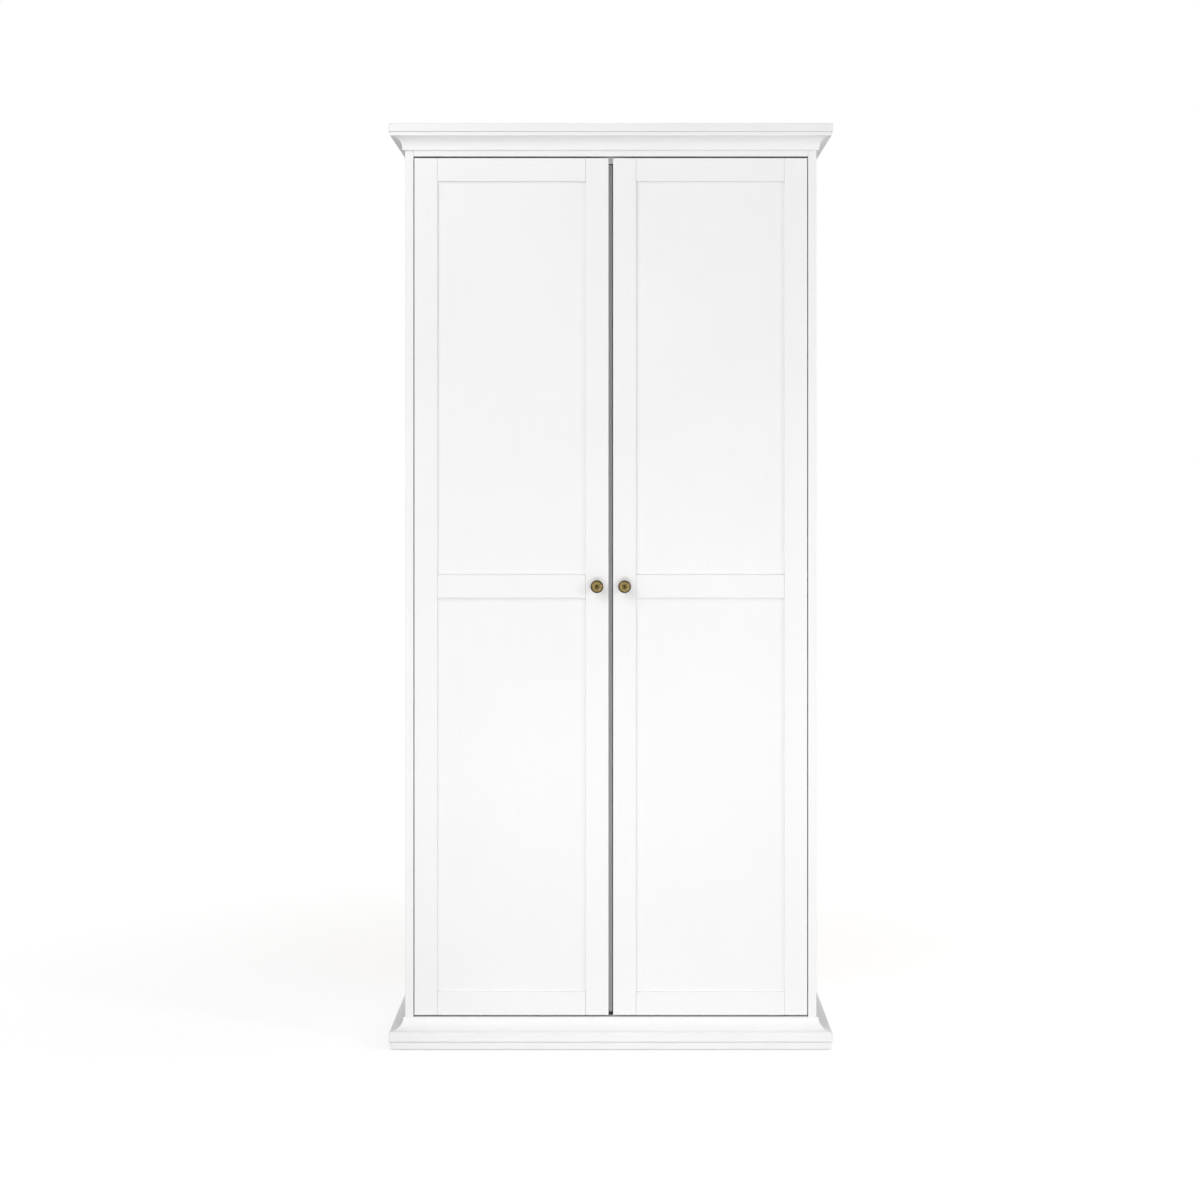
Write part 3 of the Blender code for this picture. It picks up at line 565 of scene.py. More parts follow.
def mitred_length(node, profile, side):
    """Sweep a section (out from the carcass, height) along the front (0) or a side (-1, 1)."""
    hair = 0.0002
    if side == 0:
        out = Vector((0, -1, 0))
        ends = [
            lambda proud: Vector((carcass_low.x - proud + hair, carcass_low.y - proud, 0)),
            lambda proud: Vector((carcass_high.x + proud - hair, carcass_low.y - proud, 0)),
        ]
    else:
        edge = carcass_low.x if side < 0 else carcass_high.x
        out = Vector((side, 0, 0))
        ends = [
            lambda proud: Vector((edge + side * proud, carcass_low.y - proud + hair, 0)),
            lambda proud: Vector((edge + side * proud, carcass_high.y, 0)),
        ]
    bm = bmesh.new()
    rings = []
    for end in ends:
        rings.append([bm.verts.new(end(proud) + Vector((0, 0, height))) for proud, height in profile])
    count = len(profile)
    for index in range(count):
        following = (index + 1) % count
        bm.faces.new((rings[0][index], rings[0][following], rings[1][following], rings[1][index]))
    bm.faces.new(rings[0])
    bm.faces.new(rings[1])
    bmesh.ops.recalc_face_normals(bm, faces=bm.faces)
    mesh = bpy.data.meshes.new(node)
    bm.to_mesh(mesh)
    bm.free()
    item = new_object(node + "_moulding", mesh, white_across if side == 0 else white_deep)
    return settle(stands_for(item, "carcass", "white_paint", node))


def cornice_section(low, high, proud):
    """Fillet under the cap, a deep cove, and a small square foot."""
    back = 0.0003
    ease = 0.0006
    fillet_foot = high - 0.0078
    cove_out = proud - 0.0015
    foot_out = 0.006
    cove_low = low + 0.004
    return [
        (back, high),
        *arc((proud - ease, high - ease), (ease, ease), 90, 0, 4),
        *arc((proud - ease, fillet_foot + ease), (ease, ease), 0, -90, 4),
        *arc((cove_out, cove_low), (cove_out - foot_out, fillet_foot - cove_low), 90, 180),
        *arc((foot_out - ease, low + ease), (ease, ease), 0, -90, 4),
        (back, low),
    ]


def plinth_section(low, high, proud):
    """A narrow top ledge, a deep cove, a bead, a flat band, a hollow and the foot."""
    back = 0.0003
    ease = 0.0006
    ledge = 0.004
    cove_high = high - 0.001
    cove_out = proud - 0.0025
    cove_low = cove_high - 0.0255
    band_high = cove_low - 0.0043
    band_low = cove_low - 0.0205
    foot_high = band_low - 0.0052
    foot = proud - 0.0035
    return [
        (back, high),
        *arc((ledge - ease, high - ease), (ease, ease), 90, 0, 4),
        *arc((cove_out, cove_high), (cove_out - ledge, cove_high - cove_low), 180, 270),
        *arc((cove_out - ease / 2, cove_low - 0.0011), (ease, 0.0011), 80, -80, 6),
        (cove_out - 0.0010, band_high + 0.0016),
        *arc((proud - 0.0016, band_high - 0.0016), (0.0016, 0.0016), 90, 0, 6),
        *arc((proud - 0.0016, band_low + 0.0016), (0.0016, 0.0016), 0, -70, 6),
        *arc((proud - 0.0010, foot_high + 0.0014), (foot * 0.10, 0.0021), 140, 220, 8),
        *arc((foot - ease, foot_high - ease), (ease, ease), 90, 0, 4),
        *arc((foot - ease, low + ease), (ease, ease), 0, -90, 4),
        (back, low),
    ]


for word, side in (("front", 0), ("left", -1), ("right", 1)):
    for kind, section in (("cornice_", cornice_section), ("plinth_", plinth_section)):
        low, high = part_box(kind + word)
        front_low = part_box(kind + "front")[0]
        proud = carcass_low.y - front_low.y
        mitred_length(kind + word, section(low.z, high.z, proud), side)


# ---- Hat shelf and its pins ------------------------------------------------------------------
# A loose shelf of the same board on four steel pins pushed into the sides' holes.
settle(board("hat_shelf", white_across))


def pin_copy(nodes, links, start):
    """A shelf pin: a stem out of the side's hole, with a collar against the board."""
    stem = nodes.new("GeometryNodeMeshCylinder")
    stem.inputs["Vertices"].default_value = 24
    links.new(start.outputs["Radius"], stem.inputs["Radius"])
    links.new(start.outputs["Length"], stem.inputs["Depth"])
    collar = nodes.new("GeometryNodeMeshCylinder")
    collar.inputs["Vertices"].default_value = 24
    collar.inputs["Depth"].default_value = 0.0008
    links.new(start.outputs["Collar"], collar.inputs["Radius"])
    both = nodes.new("GeometryNodeJoinGeometry")
    links.new(stem.outputs["Mesh"], both.inputs["Geometry"])
    links.new(collar.outputs["Mesh"], both.inputs["Geometry"])
    return both.outputs["Geometry"]


pin_tree = copies_tree(
    "shelf_pins",
    pin_copy,
    {"Radius": "NodeSocketFloat", "Length": "NodeSocketFloat", "Collar": "NodeSocketFloat"},
)
inner_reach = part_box("side_panel_right")[0].x
pins = [(side * (inner_reach - 0.0006), row, pin_level) for side in (-1, 1) for row in pin_rows]
shelf_pins = grow(
    "shelf_pins", pin_tree, pins, Radius=PIN_RADIUS, Length=0.018, Collar=0.0042, Facing=(1, 0, 0), Finish=nickel
)
shelf_pins.data.shade_smooth()
shelf_pins.data.set_sharp_from_angle(angle=radians(40))
stands_for(shelf_pins, "carcass", "nickel_steel")


# ---- Screws ------------------------------------------------------------------------------------
# One cross-head screw serves every fitting: a shallow pan head with its recess punched in.
def screw_copy(nodes, links, start):
    """A pan head with a cross recess, its underside on the point it is driven at."""
    ball = nodes.new("GeometryNodeMeshUVSphere")
    ball.inputs["Segments"].default_value = 32
    ball.inputs["Rings"].default_value = 16
    ball.inputs["Radius"].default_value = 1.0
    shape = nodes.new("GeometryNodeTransform")
    size = nodes.new("ShaderNodeCombineXYZ")
    links.new(start.outputs["Radius"], size.inputs["X"])
    links.new(start.outputs["Radius"], size.inputs["Y"])
    links.new(start.outputs["Height"], size.inputs["Z"])
    links.new(ball.outputs["Mesh"], shape.inputs["Geometry"])
    links.new(size.outputs["Vector"], shape.inputs["Scale"])
    cut = nodes.new("GeometryNodeMeshBoolean")
    cut.operation = "DIFFERENCE"
    cut.solver = "EXACT"
    links.new(shape.outputs["Geometry"], cut.inputs["Mesh 1"])
    for wide, deep in ((0.95, 0.2), (0.2, 0.95)):
        blade = nodes.new("GeometryNodeMeshCube")
        extent = nodes.new("ShaderNodeCombineXYZ")
        for socket, share, source in (("X", wide, "Radius"), ("Y", deep, "Radius"), ("Z", 1.1, "Height")):
            scale = nodes.new("ShaderNodeMath")
            scale.operation = "MULTIPLY"
            scale.inputs[1].default_value = share
            links.new(start.outputs[source], scale.inputs[0])
            links.new(scale.outputs["Value"], extent.inputs[socket])
        links.new(extent.outputs["Vector"], blade.inputs["Size"])
        lift = nodes.new("GeometryNodeTransform")
        raise_by = nodes.new("ShaderNodeCombineXYZ")
        links.new(start.outputs["Height"], raise_by.inputs["Z"])
        links.new(blade.outputs["Mesh"], lift.inputs["Geometry"])
        links.new(raise_by.outputs["Vector"], lift.inputs["Translation"])
        links.new(lift.outputs["Geometry"], cut.inputs["Mesh 2"])
    return cut.outputs["Mesh"]


screw_tree = copies_tree(
    "cross_head_screws", screw_copy, {"Radius": "NodeSocketFloat", "Height": "NodeSocketFloat"}
)


def screws(name, body, points, facing, radius=0.0035, height=0.0012):
    """Screw heads at points, all facing one way, on one body."""
    heads = grow(name, screw_tree, points, Radius=radius, Height=height, Facing=facing, Finish=nickel)
    heads.data.shade_smooth()
    heads.data.set_sharp_from_angle(angle=radians(35))
    return stands_for(heads, body, "nickel_steel")


# ---- Clothes rail -----------------------------------------------------------------------------
# An oval tube of nickel-plated steel on edge, its ends in open cups screwed to the sides.
def oval(height, width, steps=24):
    """Outline of an upright oval with straight sides: (across, up)."""
    radius = width / 2
    straight = height / 2 - radius
    return [
        *arc((0, straight), (radius, radius), 0, 180, steps),
        *arc((0, -straight), (radius, radius), 180, 360, steps),
    ]


def pipe_along_x(rings, centre):
    """Skin a row of (x, outline) rings into one closed surface, last ring to first."""
    bm = bmesh.new()
    loops = []
    for run, outline in rings:
        loops.append([bm.verts.new((run, centre.y + across, centre.z + up)) for across, up in outline])
    count = len(loops[0])
    for first, second in zip(loops, loops[1:] + loops[:1]):
        for index in range(count):
            following = (index + 1) % count
            bm.faces.new((first[index], first[following], second[following], second[index]))
    bmesh.ops.recalc_face_normals(bm, faces=bm.faces)
    mesh = bpy.data.meshes.new("pipe")
    bm.to_mesh(mesh)
    bm.free()
    return mesh


rail_low, rail_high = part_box("clothes_rail")
rail_centre = (rail_low + rail_high) / 2
rail_width = rail_high.y - rail_low.y
rail_height = rail_high.z - rail_low.z
TUBE_WALL = 0.0012
EASE = 0.0003
outer = oval(rail_height, rail_width)
eased = oval(rail_height - 2 * EASE, rail_width - 2 * EASE)
bore = oval(rail_height - 2 * TUBE_WALL, rail_width - 2 * TUBE_WALL)
tube_rings = [
    (rail_low.x, eased),
    (rail_low.x + EASE, outer),
    (rail_high.x - EASE, outer),
    (rail_high.x, eased),
    (rail_high.x, bore),
    (rail_low.x, bore),
]
rail_steel = plated_steel("rail_nickel", (0.70, 0.69, 0.67), 0.12, 0.24)
rail = new_object("clothes_rail_tube", pipe_along_x(tube_rings, rail_centre), rail_steel)
settle(stands_for(rail, "carcass", "nickel_steel", "clothes_rail"))

for word, side in (("left", -1), ("right", 1)):
    low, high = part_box("rail_socket_" + word)
    wall_x = low.x if side < 0 else high.x
    mouth_x = high.x if side < 0 else low.x
    cup_height = high.z - low.z
    cup_width = high.y - low.y
    lip = 0.0008
    floor_x = wall_x - side * 0.0024
    outside = oval(cup_height, cup_width)
    inside = oval(rail_height + 0.0006, rail_width + 0.0006)
    pinch = oval(0.004, 0.0018)
    cup_rings = [
        (wall_x, pinch),
        (wall_x, outside),
        (mouth_x + side * lip, outside),
        (mouth_x, oval(cup_height - 2 * lip, cup_width - 2 * lip)),
        (mouth_x, oval(rail_height + 0.0016, rail_width + 0.0016)),
        (mouth_x + side * lip, inside),
        (floor_x, inside),
        (floor_x, pinch),
    ]
    cup = new_object("rail_cup_" + word, pipe_along_x(cup_rings, rail_centre), nickel)
    settle(stands_for(cup, "carcass", "nickel_steel", "rail_socket_" + word))


# ---- Glides ------------------------------------------------------------------------------------
# Turned plastic discs nailed under the four corners, so the plinth stands just off the floor.
def turned(name, profile, centre, axis="Z", steps=64, material=None):
    """Turn a profile of (radius, height) points, closed on the axis, about an axis through centre."""
    bm = bmesh.new()
    rings = []
    for radius, height in profile:
        if radius < 1e-7:
            rings.append([bm.verts.new((0, 0, height))])
            continue
        rings.append(
            [
                bm.verts.new((radius * cos(2 * pi * step / steps), radius * sin(2 * pi * step / steps), height))
                for step in range(steps)
            ]
        )
    for first, second in zip(rings, rings[1:]):
        for step in range(steps):
            following = (step + 1) % steps
            if len(first) == 1:
                bm.faces.new((first[0], second[step], second[following]))
            elif len(second) == 1:
                bm.faces.new((first[following], first[step], second[0]))
            else:
                bm.faces.new((first[following], first[step], second[step], second[following]))
    bmesh.ops.recalc_face_normals(bm, faces=bm.faces)
    if axis == "-Y":
        bmesh.ops.rotate(bm, matrix=Matrix.Rotation(pi / 2, 3, "X"), verts=bm.verts)
    if axis == "+Y":
        bmesh.ops.rotate(bm, matrix=Matrix.Rotation(-pi / 2, 3, "X"), verts=bm.verts)
    bmesh.ops.translate(bm, vec=centre, verts=bm.verts)
    mesh = bpy.data.meshes.new(name)
    bm.to_mesh(mesh)
    bm.free()
    return new_object(name, mesh, material)


glide_plastic = moulded_plastic("white_glide_plastic", 0.74)
for side in ("left", "right"):
    for end in ("front", "rear"):
        node = "glide_" + side + "_" + end
        low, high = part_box(node)
        radius = (high.x - low.x) / 2
        tall = high.z - low.z
        profile = [(0.0, tall), (radius, tall)]
        profile += arc((radius - 0.0012, 0.0012), (0.0012, 0.0012), 0, -90, 6)
        profile += [(0.0035, 0.0), (0.0028, 0.0006), (0.0, 0.0006)]
        centre = ((low.x + high.x) / 2, (low.y + high.y) / 2, low.z)
        glide = turned(node + "_disc", profile, centre, material=glide_plastic)
        settle(stands_for(glide, "carcass", "white_plastic", node))


# ---- Door catch ---------------------------------------------------------------------------------
# A double magnetic catch screwed up under the top panel.  Each magnet holds a small steel plate
# screwed to the back of a door.
catch_low, catch_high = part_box("door_catch")
magnet_wide = 0.012
catch = board("door_catch", moulded_plastic("catch_plastic", 0.82), 0.0014, slot="white_plastic")
for side in (-1, 1):
    seat = block_mesh(
        (side * 0.015 - magnet_wide / 2, catch_low.y - 0.01, catch_low.z + 0.0035),
        (side * 0.015 + magnet_wide / 2, catch_low.y + 0.0012, catch_high.z - 0.0035),
    )
    carve(catch, seat)
settle(catch)
ferrite, nodes, links, shader = shader_material("ferrite", (0.09, 0.09, 0.09), 0.5, 0.6)
catch_place = nodes.new("ShaderNodeTexCoord")
sinter = nodes.new("ShaderNodeTexNoise")
sinter.inputs["Scale"].default_value = 2200.0
sinter.inputs["Detail"].default_value = 3.0
links.new(catch_place.outputs["Object"], sinter.inputs["Vector"])
soot = nodes.new("ShaderNodeValToRGB")
soot.color_ramp.elements[0].position = 0.35
soot.color_ramp.elements[0].color = (0.06, 0.06, 0.06, 1.0)
soot.color_ramp.elements[1].position = 0.65
soot.color_ramp.elements[1].color = (0.13, 0.13, 0.13, 1.0)
links.new(sinter.outputs["Fac"], soot.inputs["Fac"])
links.new(soot.outputs["Color"], shader.inputs["Base Color"])
strike_steel = plated_steel("strike_steel", (0.60, 0.60, 0.59), 0.25, 0.40)
magnets = [
    block_mesh(
        (side * 0.015 - magnet_wide / 2 + 0.0004, catch_low.y + 0.0002, catch_low.z + 0.0039),
        (side * 0.015 + magnet_wide / 2 - 0.0004, catch_low.y + 0.0014, catch_high.z - 0.0039),
        0.0004,
    )
    for side in (-1, 1)
]
catch_magnets = merge("catch_magnets", magnets, ferrite)
settle(stands_for(catch_magnets, "carcass", "white_plastic"))
catch_middle = (catch_low.y + catch_high.y) / 2
screws(
    "catch_screws",
    "carcass",
    [(side * 0.015, catch_middle, catch_low.z - 0.0001) for side in (-1, 1)],
    (0, 0, -1),
    0.0030,
)


# ---- Doors ---------------------------------------------------------------------------------------
# Framed doors: two full-height stiles with three rails between them, butted with a fine V, and
# two flat panels held in a groove 7 mm behind the face.  The hinge stiles are bored for the cups.
HINGES = ("lower", "middle", "upper")
GROOVE = 0.008
SLACK = 0.0003
panel_low, panel_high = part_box("door_left_panel_upper")
groove_low = panel_low.y - SLACK
groove_high = panel_high.y + SLACK
door_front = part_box("door_left_stile_lock")[0].y
door_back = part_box("door_left_stile_lock")[1].y

for word, side in (("left", -1), ("right", 1)):
    body = "door_" + word
    for kind in ("hinge", "lock"):
        node = body + "_stile_" + kind
        low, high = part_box(node)
        stile = board(node, white_upright, 0.0007, body)
        panel_side_right = (kind == "hinge") == (side < 0)
        inner = high.x if panel_side_right else low.x
        way = -1 if panel_side_right else 1
        reach = sorted((inner + way * GROOVE, inner - way * 0.002))
        carve(stile, block_mesh((reach[0], groove_low, low.z - 0.01), (reach[1], groove_high, high.z + 0.01)))
        if kind == "hinge":
            for place in HINGES:
                cup_low, cup_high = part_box("hinge_cup_" + word + "_" + place)
                middle = (cup_low + cup_high) / 2
                radius = (cup_high.x - cup_low.x) / 2 - 0.0018 + SLACK
                bore_floor = cup_low.y - SLACK
                profile = [(0.0, 0.02), (radius, 0.02), (radius, 0.0), (0.0, 0.0)]
                bore_tool = turned("bore", profile, (middle.x, bore_floor, middle.z), "+Y")
                bore_mesh = bore_tool.data
                bpy.data.objects.remove(bore_tool)
                carve(stile, bore_mesh)
        settle(stile)
    for kind, below, above in (("top", True, False), ("mid", True, True), ("bottom", False, True)):
        node = body + "_rail_" + kind
        low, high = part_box(node)
        stile_edges = [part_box(body + "_stile_" + end) for end in ("hinge", "lock")]
        inner_edges = sorted(edge for pair in stile_edges for edge in (pair[0].x, pair[1].x))[1:3]
        rail_ends = (inner_edges[0] + SLACK, inner_edges[1] - SLACK)
        mesh = block_mesh((rail_ends[0], low.y, low.z), (rail_ends[1], high.y, high.z), 0.0004)
        item = stands_for(new_object(node + "_board", mesh, white_across), body, "white_paint", node)
        for wanted, edge, way in ((below, low.z, 1), (above, high.z, -1)):
            if wanted:
                span = sorted((edge + way * GROOVE, edge - way * 0.002))
                carve(item, block_mesh((low.x - 0.02, groove_low, span[0]), (high.x + 0.02, groove_high, span[1])))
        settle(item)
    for kind in ("upper", "lower"):
        settle(board(body + "_panel_" + kind, white_upright, 0.0003, body))
    strike = block_mesh(
        (side * 0.015 - 0.0075 + side * 0.003, door_back + 0.0001, catch_low.z + 0.001),
        (side * 0.015 + 0.0075 + side * 0.003, door_back + 0.0007, catch_high.z - 0.0035),
        0.0002,
        2,
    )
    plate = new_object("strike_plate_" + word, strike, strike_steel)
    settle(stands_for(plate, body, "nickel_steel"))


# ---- Closing strip ---------------------------------------------------------------------------------
# A narrow strip of the same board behind the middle gap, screwed to the back of the left door's
# stile.  It stops 1.5 mm short of the right door, so either door opens first.  Its white foil is
# darkened to mid-grey: painted shade standing for the shadow deep in the gap.
strip_low, strip_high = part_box("closing_strip")
# Tone 0.46 instead of white is painted shade for the dark door gap, not the strip's own colour.
settle(board("closing_strip", lacquer("grey_upright", (420, 420, 9), 0.46), 0.0012, "door_left"))
SCREW_SPACING = 0.29
strip_middle = (strip_low.z + strip_high.z) / 2
strip_screws = [
    (strip_low.x + 0.009, strip_high.y - 0.0002, strip_middle + step * SCREW_SPACING) for step in (-3, -2, -1, 0, 1, 2, 3)
]
screws("closing_strip_screws", "door_left", strip_screws, (0, 1, 0), 0.0036)


# ---- Knobs -------------------------------------------------------------------------------------------
# Turned brass on a waisted stem, the face ringed around a small sunk centre.  The brass is
# chemically browned, and rubbing has brought the metal back on the rings and the belly.  The
# darkening towards the belly's outer edge, the rim and under the head is painted shade.
def aged_brass_with_rim_shade(name, centre):
    """Browned brass around a knob's axis: dark in the hollows, rubbed on the rings, with painted shade darkening
    the rim and the underside of the head.
    """
    material, nodes, links, shader = shader_material(name, (0.36, 0.28, 0.13), 0.42, 1.0)
    place = nodes.new("ShaderNodeTexCoord")
    mapping = nodes.new("ShaderNodeMapping")
    mapping.inputs["Location"].default_value = (-centre[0], 0.0, -centre[2])
    mapping.inputs["Scale"].default_value = (1.0, 0.0, 1.0)
    links.new(place.outputs["Object"], mapping.inputs["Vector"])
    reach = nodes.new("ShaderNodeVectorMath")
    reach.operation = "LENGTH"
    links.new(mapping.outputs["Vector"], reach.inputs[0])
    share = nodes.new("ShaderNodeMath")
    share.operation = "DIVIDE"
    share.inputs[1].default_value = 0.014
    links.new(reach.outputs["Value"], share.inputs[0])
    rings = nodes.new("ShaderNodeValToRGB")
    # The stops past 0.70 darken the outer belly and rim: painted shade where the dome turns away, not browning.
    ring_and_rim_shade_stops = (
        (0.00, (0.040, 0.026, 0.012)),
        (0.13, (0.060, 0.040, 0.016)),
        (0.20, (0.400, 0.300, 0.120)),
        (0.34, (0.270, 0.195, 0.075)),
        (0.42, (0.430, 0.335, 0.150)),
        (0.70, (0.360, 0.275, 0.115)),
        (0.84, (0.215, 0.160, 0.070)),
        (1.00, (0.095, 0.072, 0.038)),
    )
    ramp = rings.color_ramp
    ramp.elements[0].position = ring_and_rim_shade_stops[0][0]
    ramp.elements[0].color = (*ring_and_rim_shade_stops[0][1], 1.0)
    ramp.elements[1].position = ring_and_rim_shade_stops[-1][0]
    ramp.elements[1].color = (*ring_and_rim_shade_stops[-1][1], 1.0)
    for position, colour in ring_and_rim_shade_stops[1:-1]:
        stop = ramp.elements.new(position)
        stop.color = (*colour, 1.0)
    links.new(share.outputs["Value"], rings.inputs["Fac"])
    blotch = nodes.new("ShaderNodeTexNoise")
    blotch.inputs["Scale"].default_value = 380.0
    blotch.inputs["Detail"].default_value = 5.0
    links.new(place.outputs["Object"], blotch.inputs["Vector"])
    patina = nodes.new("ShaderNodeValToRGB")
    patina.color_ramp.elements[0].position = 0.36
    patina.color_ramp.elements[0].color = (0.52, 0.50, 0.46, 1.0)
    patina.color_ramp.elements[1].position = 0.62
    patina.color_ramp.elements[1].color = (1.0, 1.0, 1.0, 1.0)
    links.new(blotch.outputs["Fac"], patina.inputs["Fac"])
    mix = nodes.new("ShaderNodeMix")
    mix.data_type = "RGBA"
    mix.blend_type = "MULTIPLY"
    mix.inputs["Factor"].default_value = 1.0
    links.new(rings.outputs["Color"], mix.inputs["A"])
    links.new(patina.outputs["Color"], mix.inputs["B"])
    links.new(mix.outputs["Result"], shader.inputs["Base Color"])
    dull = nodes.new("ShaderNodeMapRange")
    dull.inputs["To Min"].default_value = 0.60
    dull.inputs["To Max"].default_value = 0.30
    links.new(blotch.outputs["Fac"], dull.inputs["Value"])
    links.new(dull.outputs["Result"], shader.inputs["Roughness"])
    relief = nodes.new("ShaderNodeBump")
    relief.inputs["Strength"].default_value = 0.25
    relief.inputs["Distance"].default_value = 0.0001
    links.new(blotch.outputs["Fac"], relief.inputs["Height"])
    links.new(relief.outputs["Normal"], shader.inputs["Normal"])
    return material


def knob_profile(radius, length):
    """Section of a knob from the middle of its face to its foot: (radius, height)."""
    face = length
    belly = 0.0058
    return [
        (0.0, face - 0.0014),
        *arc((radius * 0.06, face - 0.0010), (radius * 0.06, 0.0005), -90, 0, 4),
        *arc((radius * 0.18, face - 0.0008), (radius * 0.05, 0.0008), 180, 0, 8),
        *arc((radius * 0.27, face - 0.0008), (radius * 0.04, 0.0006), 180, 360, 6),
        *arc((radius * 0.36, face - 0.0007), (radius * 0.05, 0.0006), 180, 0, 8),
        *arc((radius * 0.45, face - 0.0010), (radius * 0.04, 0.0004), 180, 350, 6),
        *arc((radius * 0.60, face - belly), (radius * 0.40, belly - 0.0006), 95, -25, 24),
        *arc((radius * 0.62, face - 0.0135), (radius * 0.28, 0.0052), 78, 105, 4)[:1],
        *arc((0.0052 + radius * 0.30, face - 0.0142), (radius * 0.30 + 0.0004, 0.0048), 100, 180, 12),
        *arc((0.0052 + 0.0045, 0.0075), (0.0049, 0.0045), 180, 262, 10),
        *arc((0.0072, 0.0022), (0.0006, 0.0006), 80, 0, 4),
        (0.0078, 0.0004),
        (0.0074, 0.0),
        (0.0, 0.0),
    ]


for word, side in (("left", -1), ("right", 1)):
    low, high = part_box("knob_" + word)
    centre = ((low.x + high.x) / 2, high.y, (low.z + high.z) / 2)
    brass = aged_brass_with_rim_shade("aged_brass_" + word, centre)
    profile = knob_profile((high.x - low.x) / 2, high.y - low.y)
    knob = turned("knob_" + word + "_turned", profile, centre, "-Y", 96, brass)
    settle(stands_for(knob, "door_" + word, "antique_brass", "knob_" + word))
    screws(
        "knob_screw_" + word, "door_" + word, [(centre[0], door_back, centre[2])], (0, 1, 0), 0.0040, 0.0018
    )


# ---- Hinges ---------------------------------------------------------------------------------------
# Three concealed cup hinges a door, pressed from nickel-plated steel.  The cup is let into the
# stile with its pin across it; a bent arm runs from the pin round the door's edge to a
# mounting plate screwed to the side.
CUP_LIP = 0.0018
CUP_WALL = 0.0006
CUP_RIM = 0.0010
EAR_WIDE = 0.0155
EAR_SCREW = 0.0245
NECK_WALL = 0.0020
NECK_WIDE = 0.0120
PIN_THICK = 0.0012
EYE_THICK = 0.0023
HOUSING_TALL = 0.0073
WING_THICK = 0.0020


def ring_mesh(outer, inner, length, steps=32):
    """A short tube along Z about the origin."""
    bm = bmesh.new()
    half = length / 2
    loops = []
    for radius, height in ((outer, half), (outer, -half), (inner, -half), (inner, half)):
        loops.append(
            [
                bm.verts.new((radius * cos(2 * pi * step / steps), radius * sin(2 * pi * step / steps), height))
                for step in range(steps)
            ]
        )
    for first, second in zip(loops, loops[1:] + loops[:1]):
        for step in range(steps):
            following = (step + 1) % steps
            bm.faces.new((first[step], first[following], second[following], second[step]))
    bmesh.ops.recalc_face_normals(bm, faces=bm.faces)
    mesh = bpy.data.meshes.new("ring")
    bm.to_mesh(mesh)
    bm.free()
    return mesh


def rounded_plate(low, high, corner, axis, edge=0.0003):
    """A plate between two corners with its outline's corners rounded, thin along one axis."""
    bm = bmesh.new()
    bmesh.ops.create_cube(bm, size=1.0)
    low = Vector(low)
    high = Vector(high)
    bmesh.ops.scale(bm, vec=high - low, verts=bm.verts)
    bmesh.ops.translate(bm, vec=(low + high) / 2, verts=bm.verts)
    upright = [edge for edge in bm.edges if abs((edge.verts[0].co - edge.verts[1].co)[axis]) > 1e-6]
    bmesh.ops.bevel(bm, geom=upright, offset=corner, segments=8, profile=0.5, affect="EDGES")
    rims = [edge for edge in bm.edges if abs((edge.verts[0].co - edge.verts[1].co)[axis]) < 1e-6]
    bmesh.ops.bevel(bm, geom=rims, offset=edge, segments=2, profile=0.5, affect="EDGES")
    mesh = bpy.data.meshes.new("plate")
    bm.to_mesh(mesh)
    bm.free()
    return mesh


def taken(item):
    """Keep an object's mesh and remove the object."""
    mesh = item.data
    bpy.data.objects.remove(item)
    return mesh


def cup_meshes(radius, floor, rim):
    """Cup, ears and pin about the pin's axis, the mouth towards +Y."""
    offset = 0.003
    inside = radius - CUP_WALL
    outside = radius + CUP_LIP
    bowl = [
        (0.0, CUP_WALL),
        *arc((inside - 0.0015, CUP_WALL + 0.0015), (0.0015, 0.0015), -90, 0, 6),
        (inside, rim - 0.0004),
        *arc((inside + 0.0004, rim - 0.0004), (0.0004, 0.0004), 180, 90, 4),
        *arc((outside - 0.0004, rim - 0.0004), (0.0004, 0.0004), 90, 0, 4),
        (outside, rim - CUP_RIM + 0.0003),
        (radius, rim - CUP_RIM + 0.0003),
        (radius, 0.0008),
        (radius - 0.0008, 0.0),
        (0.0, 0.0),
    ]
    shell = taken(turned("bowl", bowl, (offset, floor, 0), "+Y", 64))
    mouth_y = floor + rim
    ears = new_object(
        "ears",
        rounded_plate(
            (offset - EAR_WIDE / 2, mouth_y - CUP_RIM + 0.0003, -0.030),
            (offset + EAR_WIDE / 2, mouth_y - 0.0001, 0.030),
            0.0062,
            1,
            0.0001,
        ),
    )
    hole = [(0.0, 0.01), (inside + CUP_WALL, 0.01), (inside + CUP_WALL, 0.0), (0.0, 0.0)]
    carve(ears, taken(turned("mouth", hole, (offset, mouth_y - 0.005, 0), "+Y", 64)))
    half_chord = (inside**2 - offset**2) ** 0.5
    pin = ring_mesh(PIN_THICK, 0.0002, 2 * half_chord + CUP_WALL)
    return [shell, taken(ears), pin]


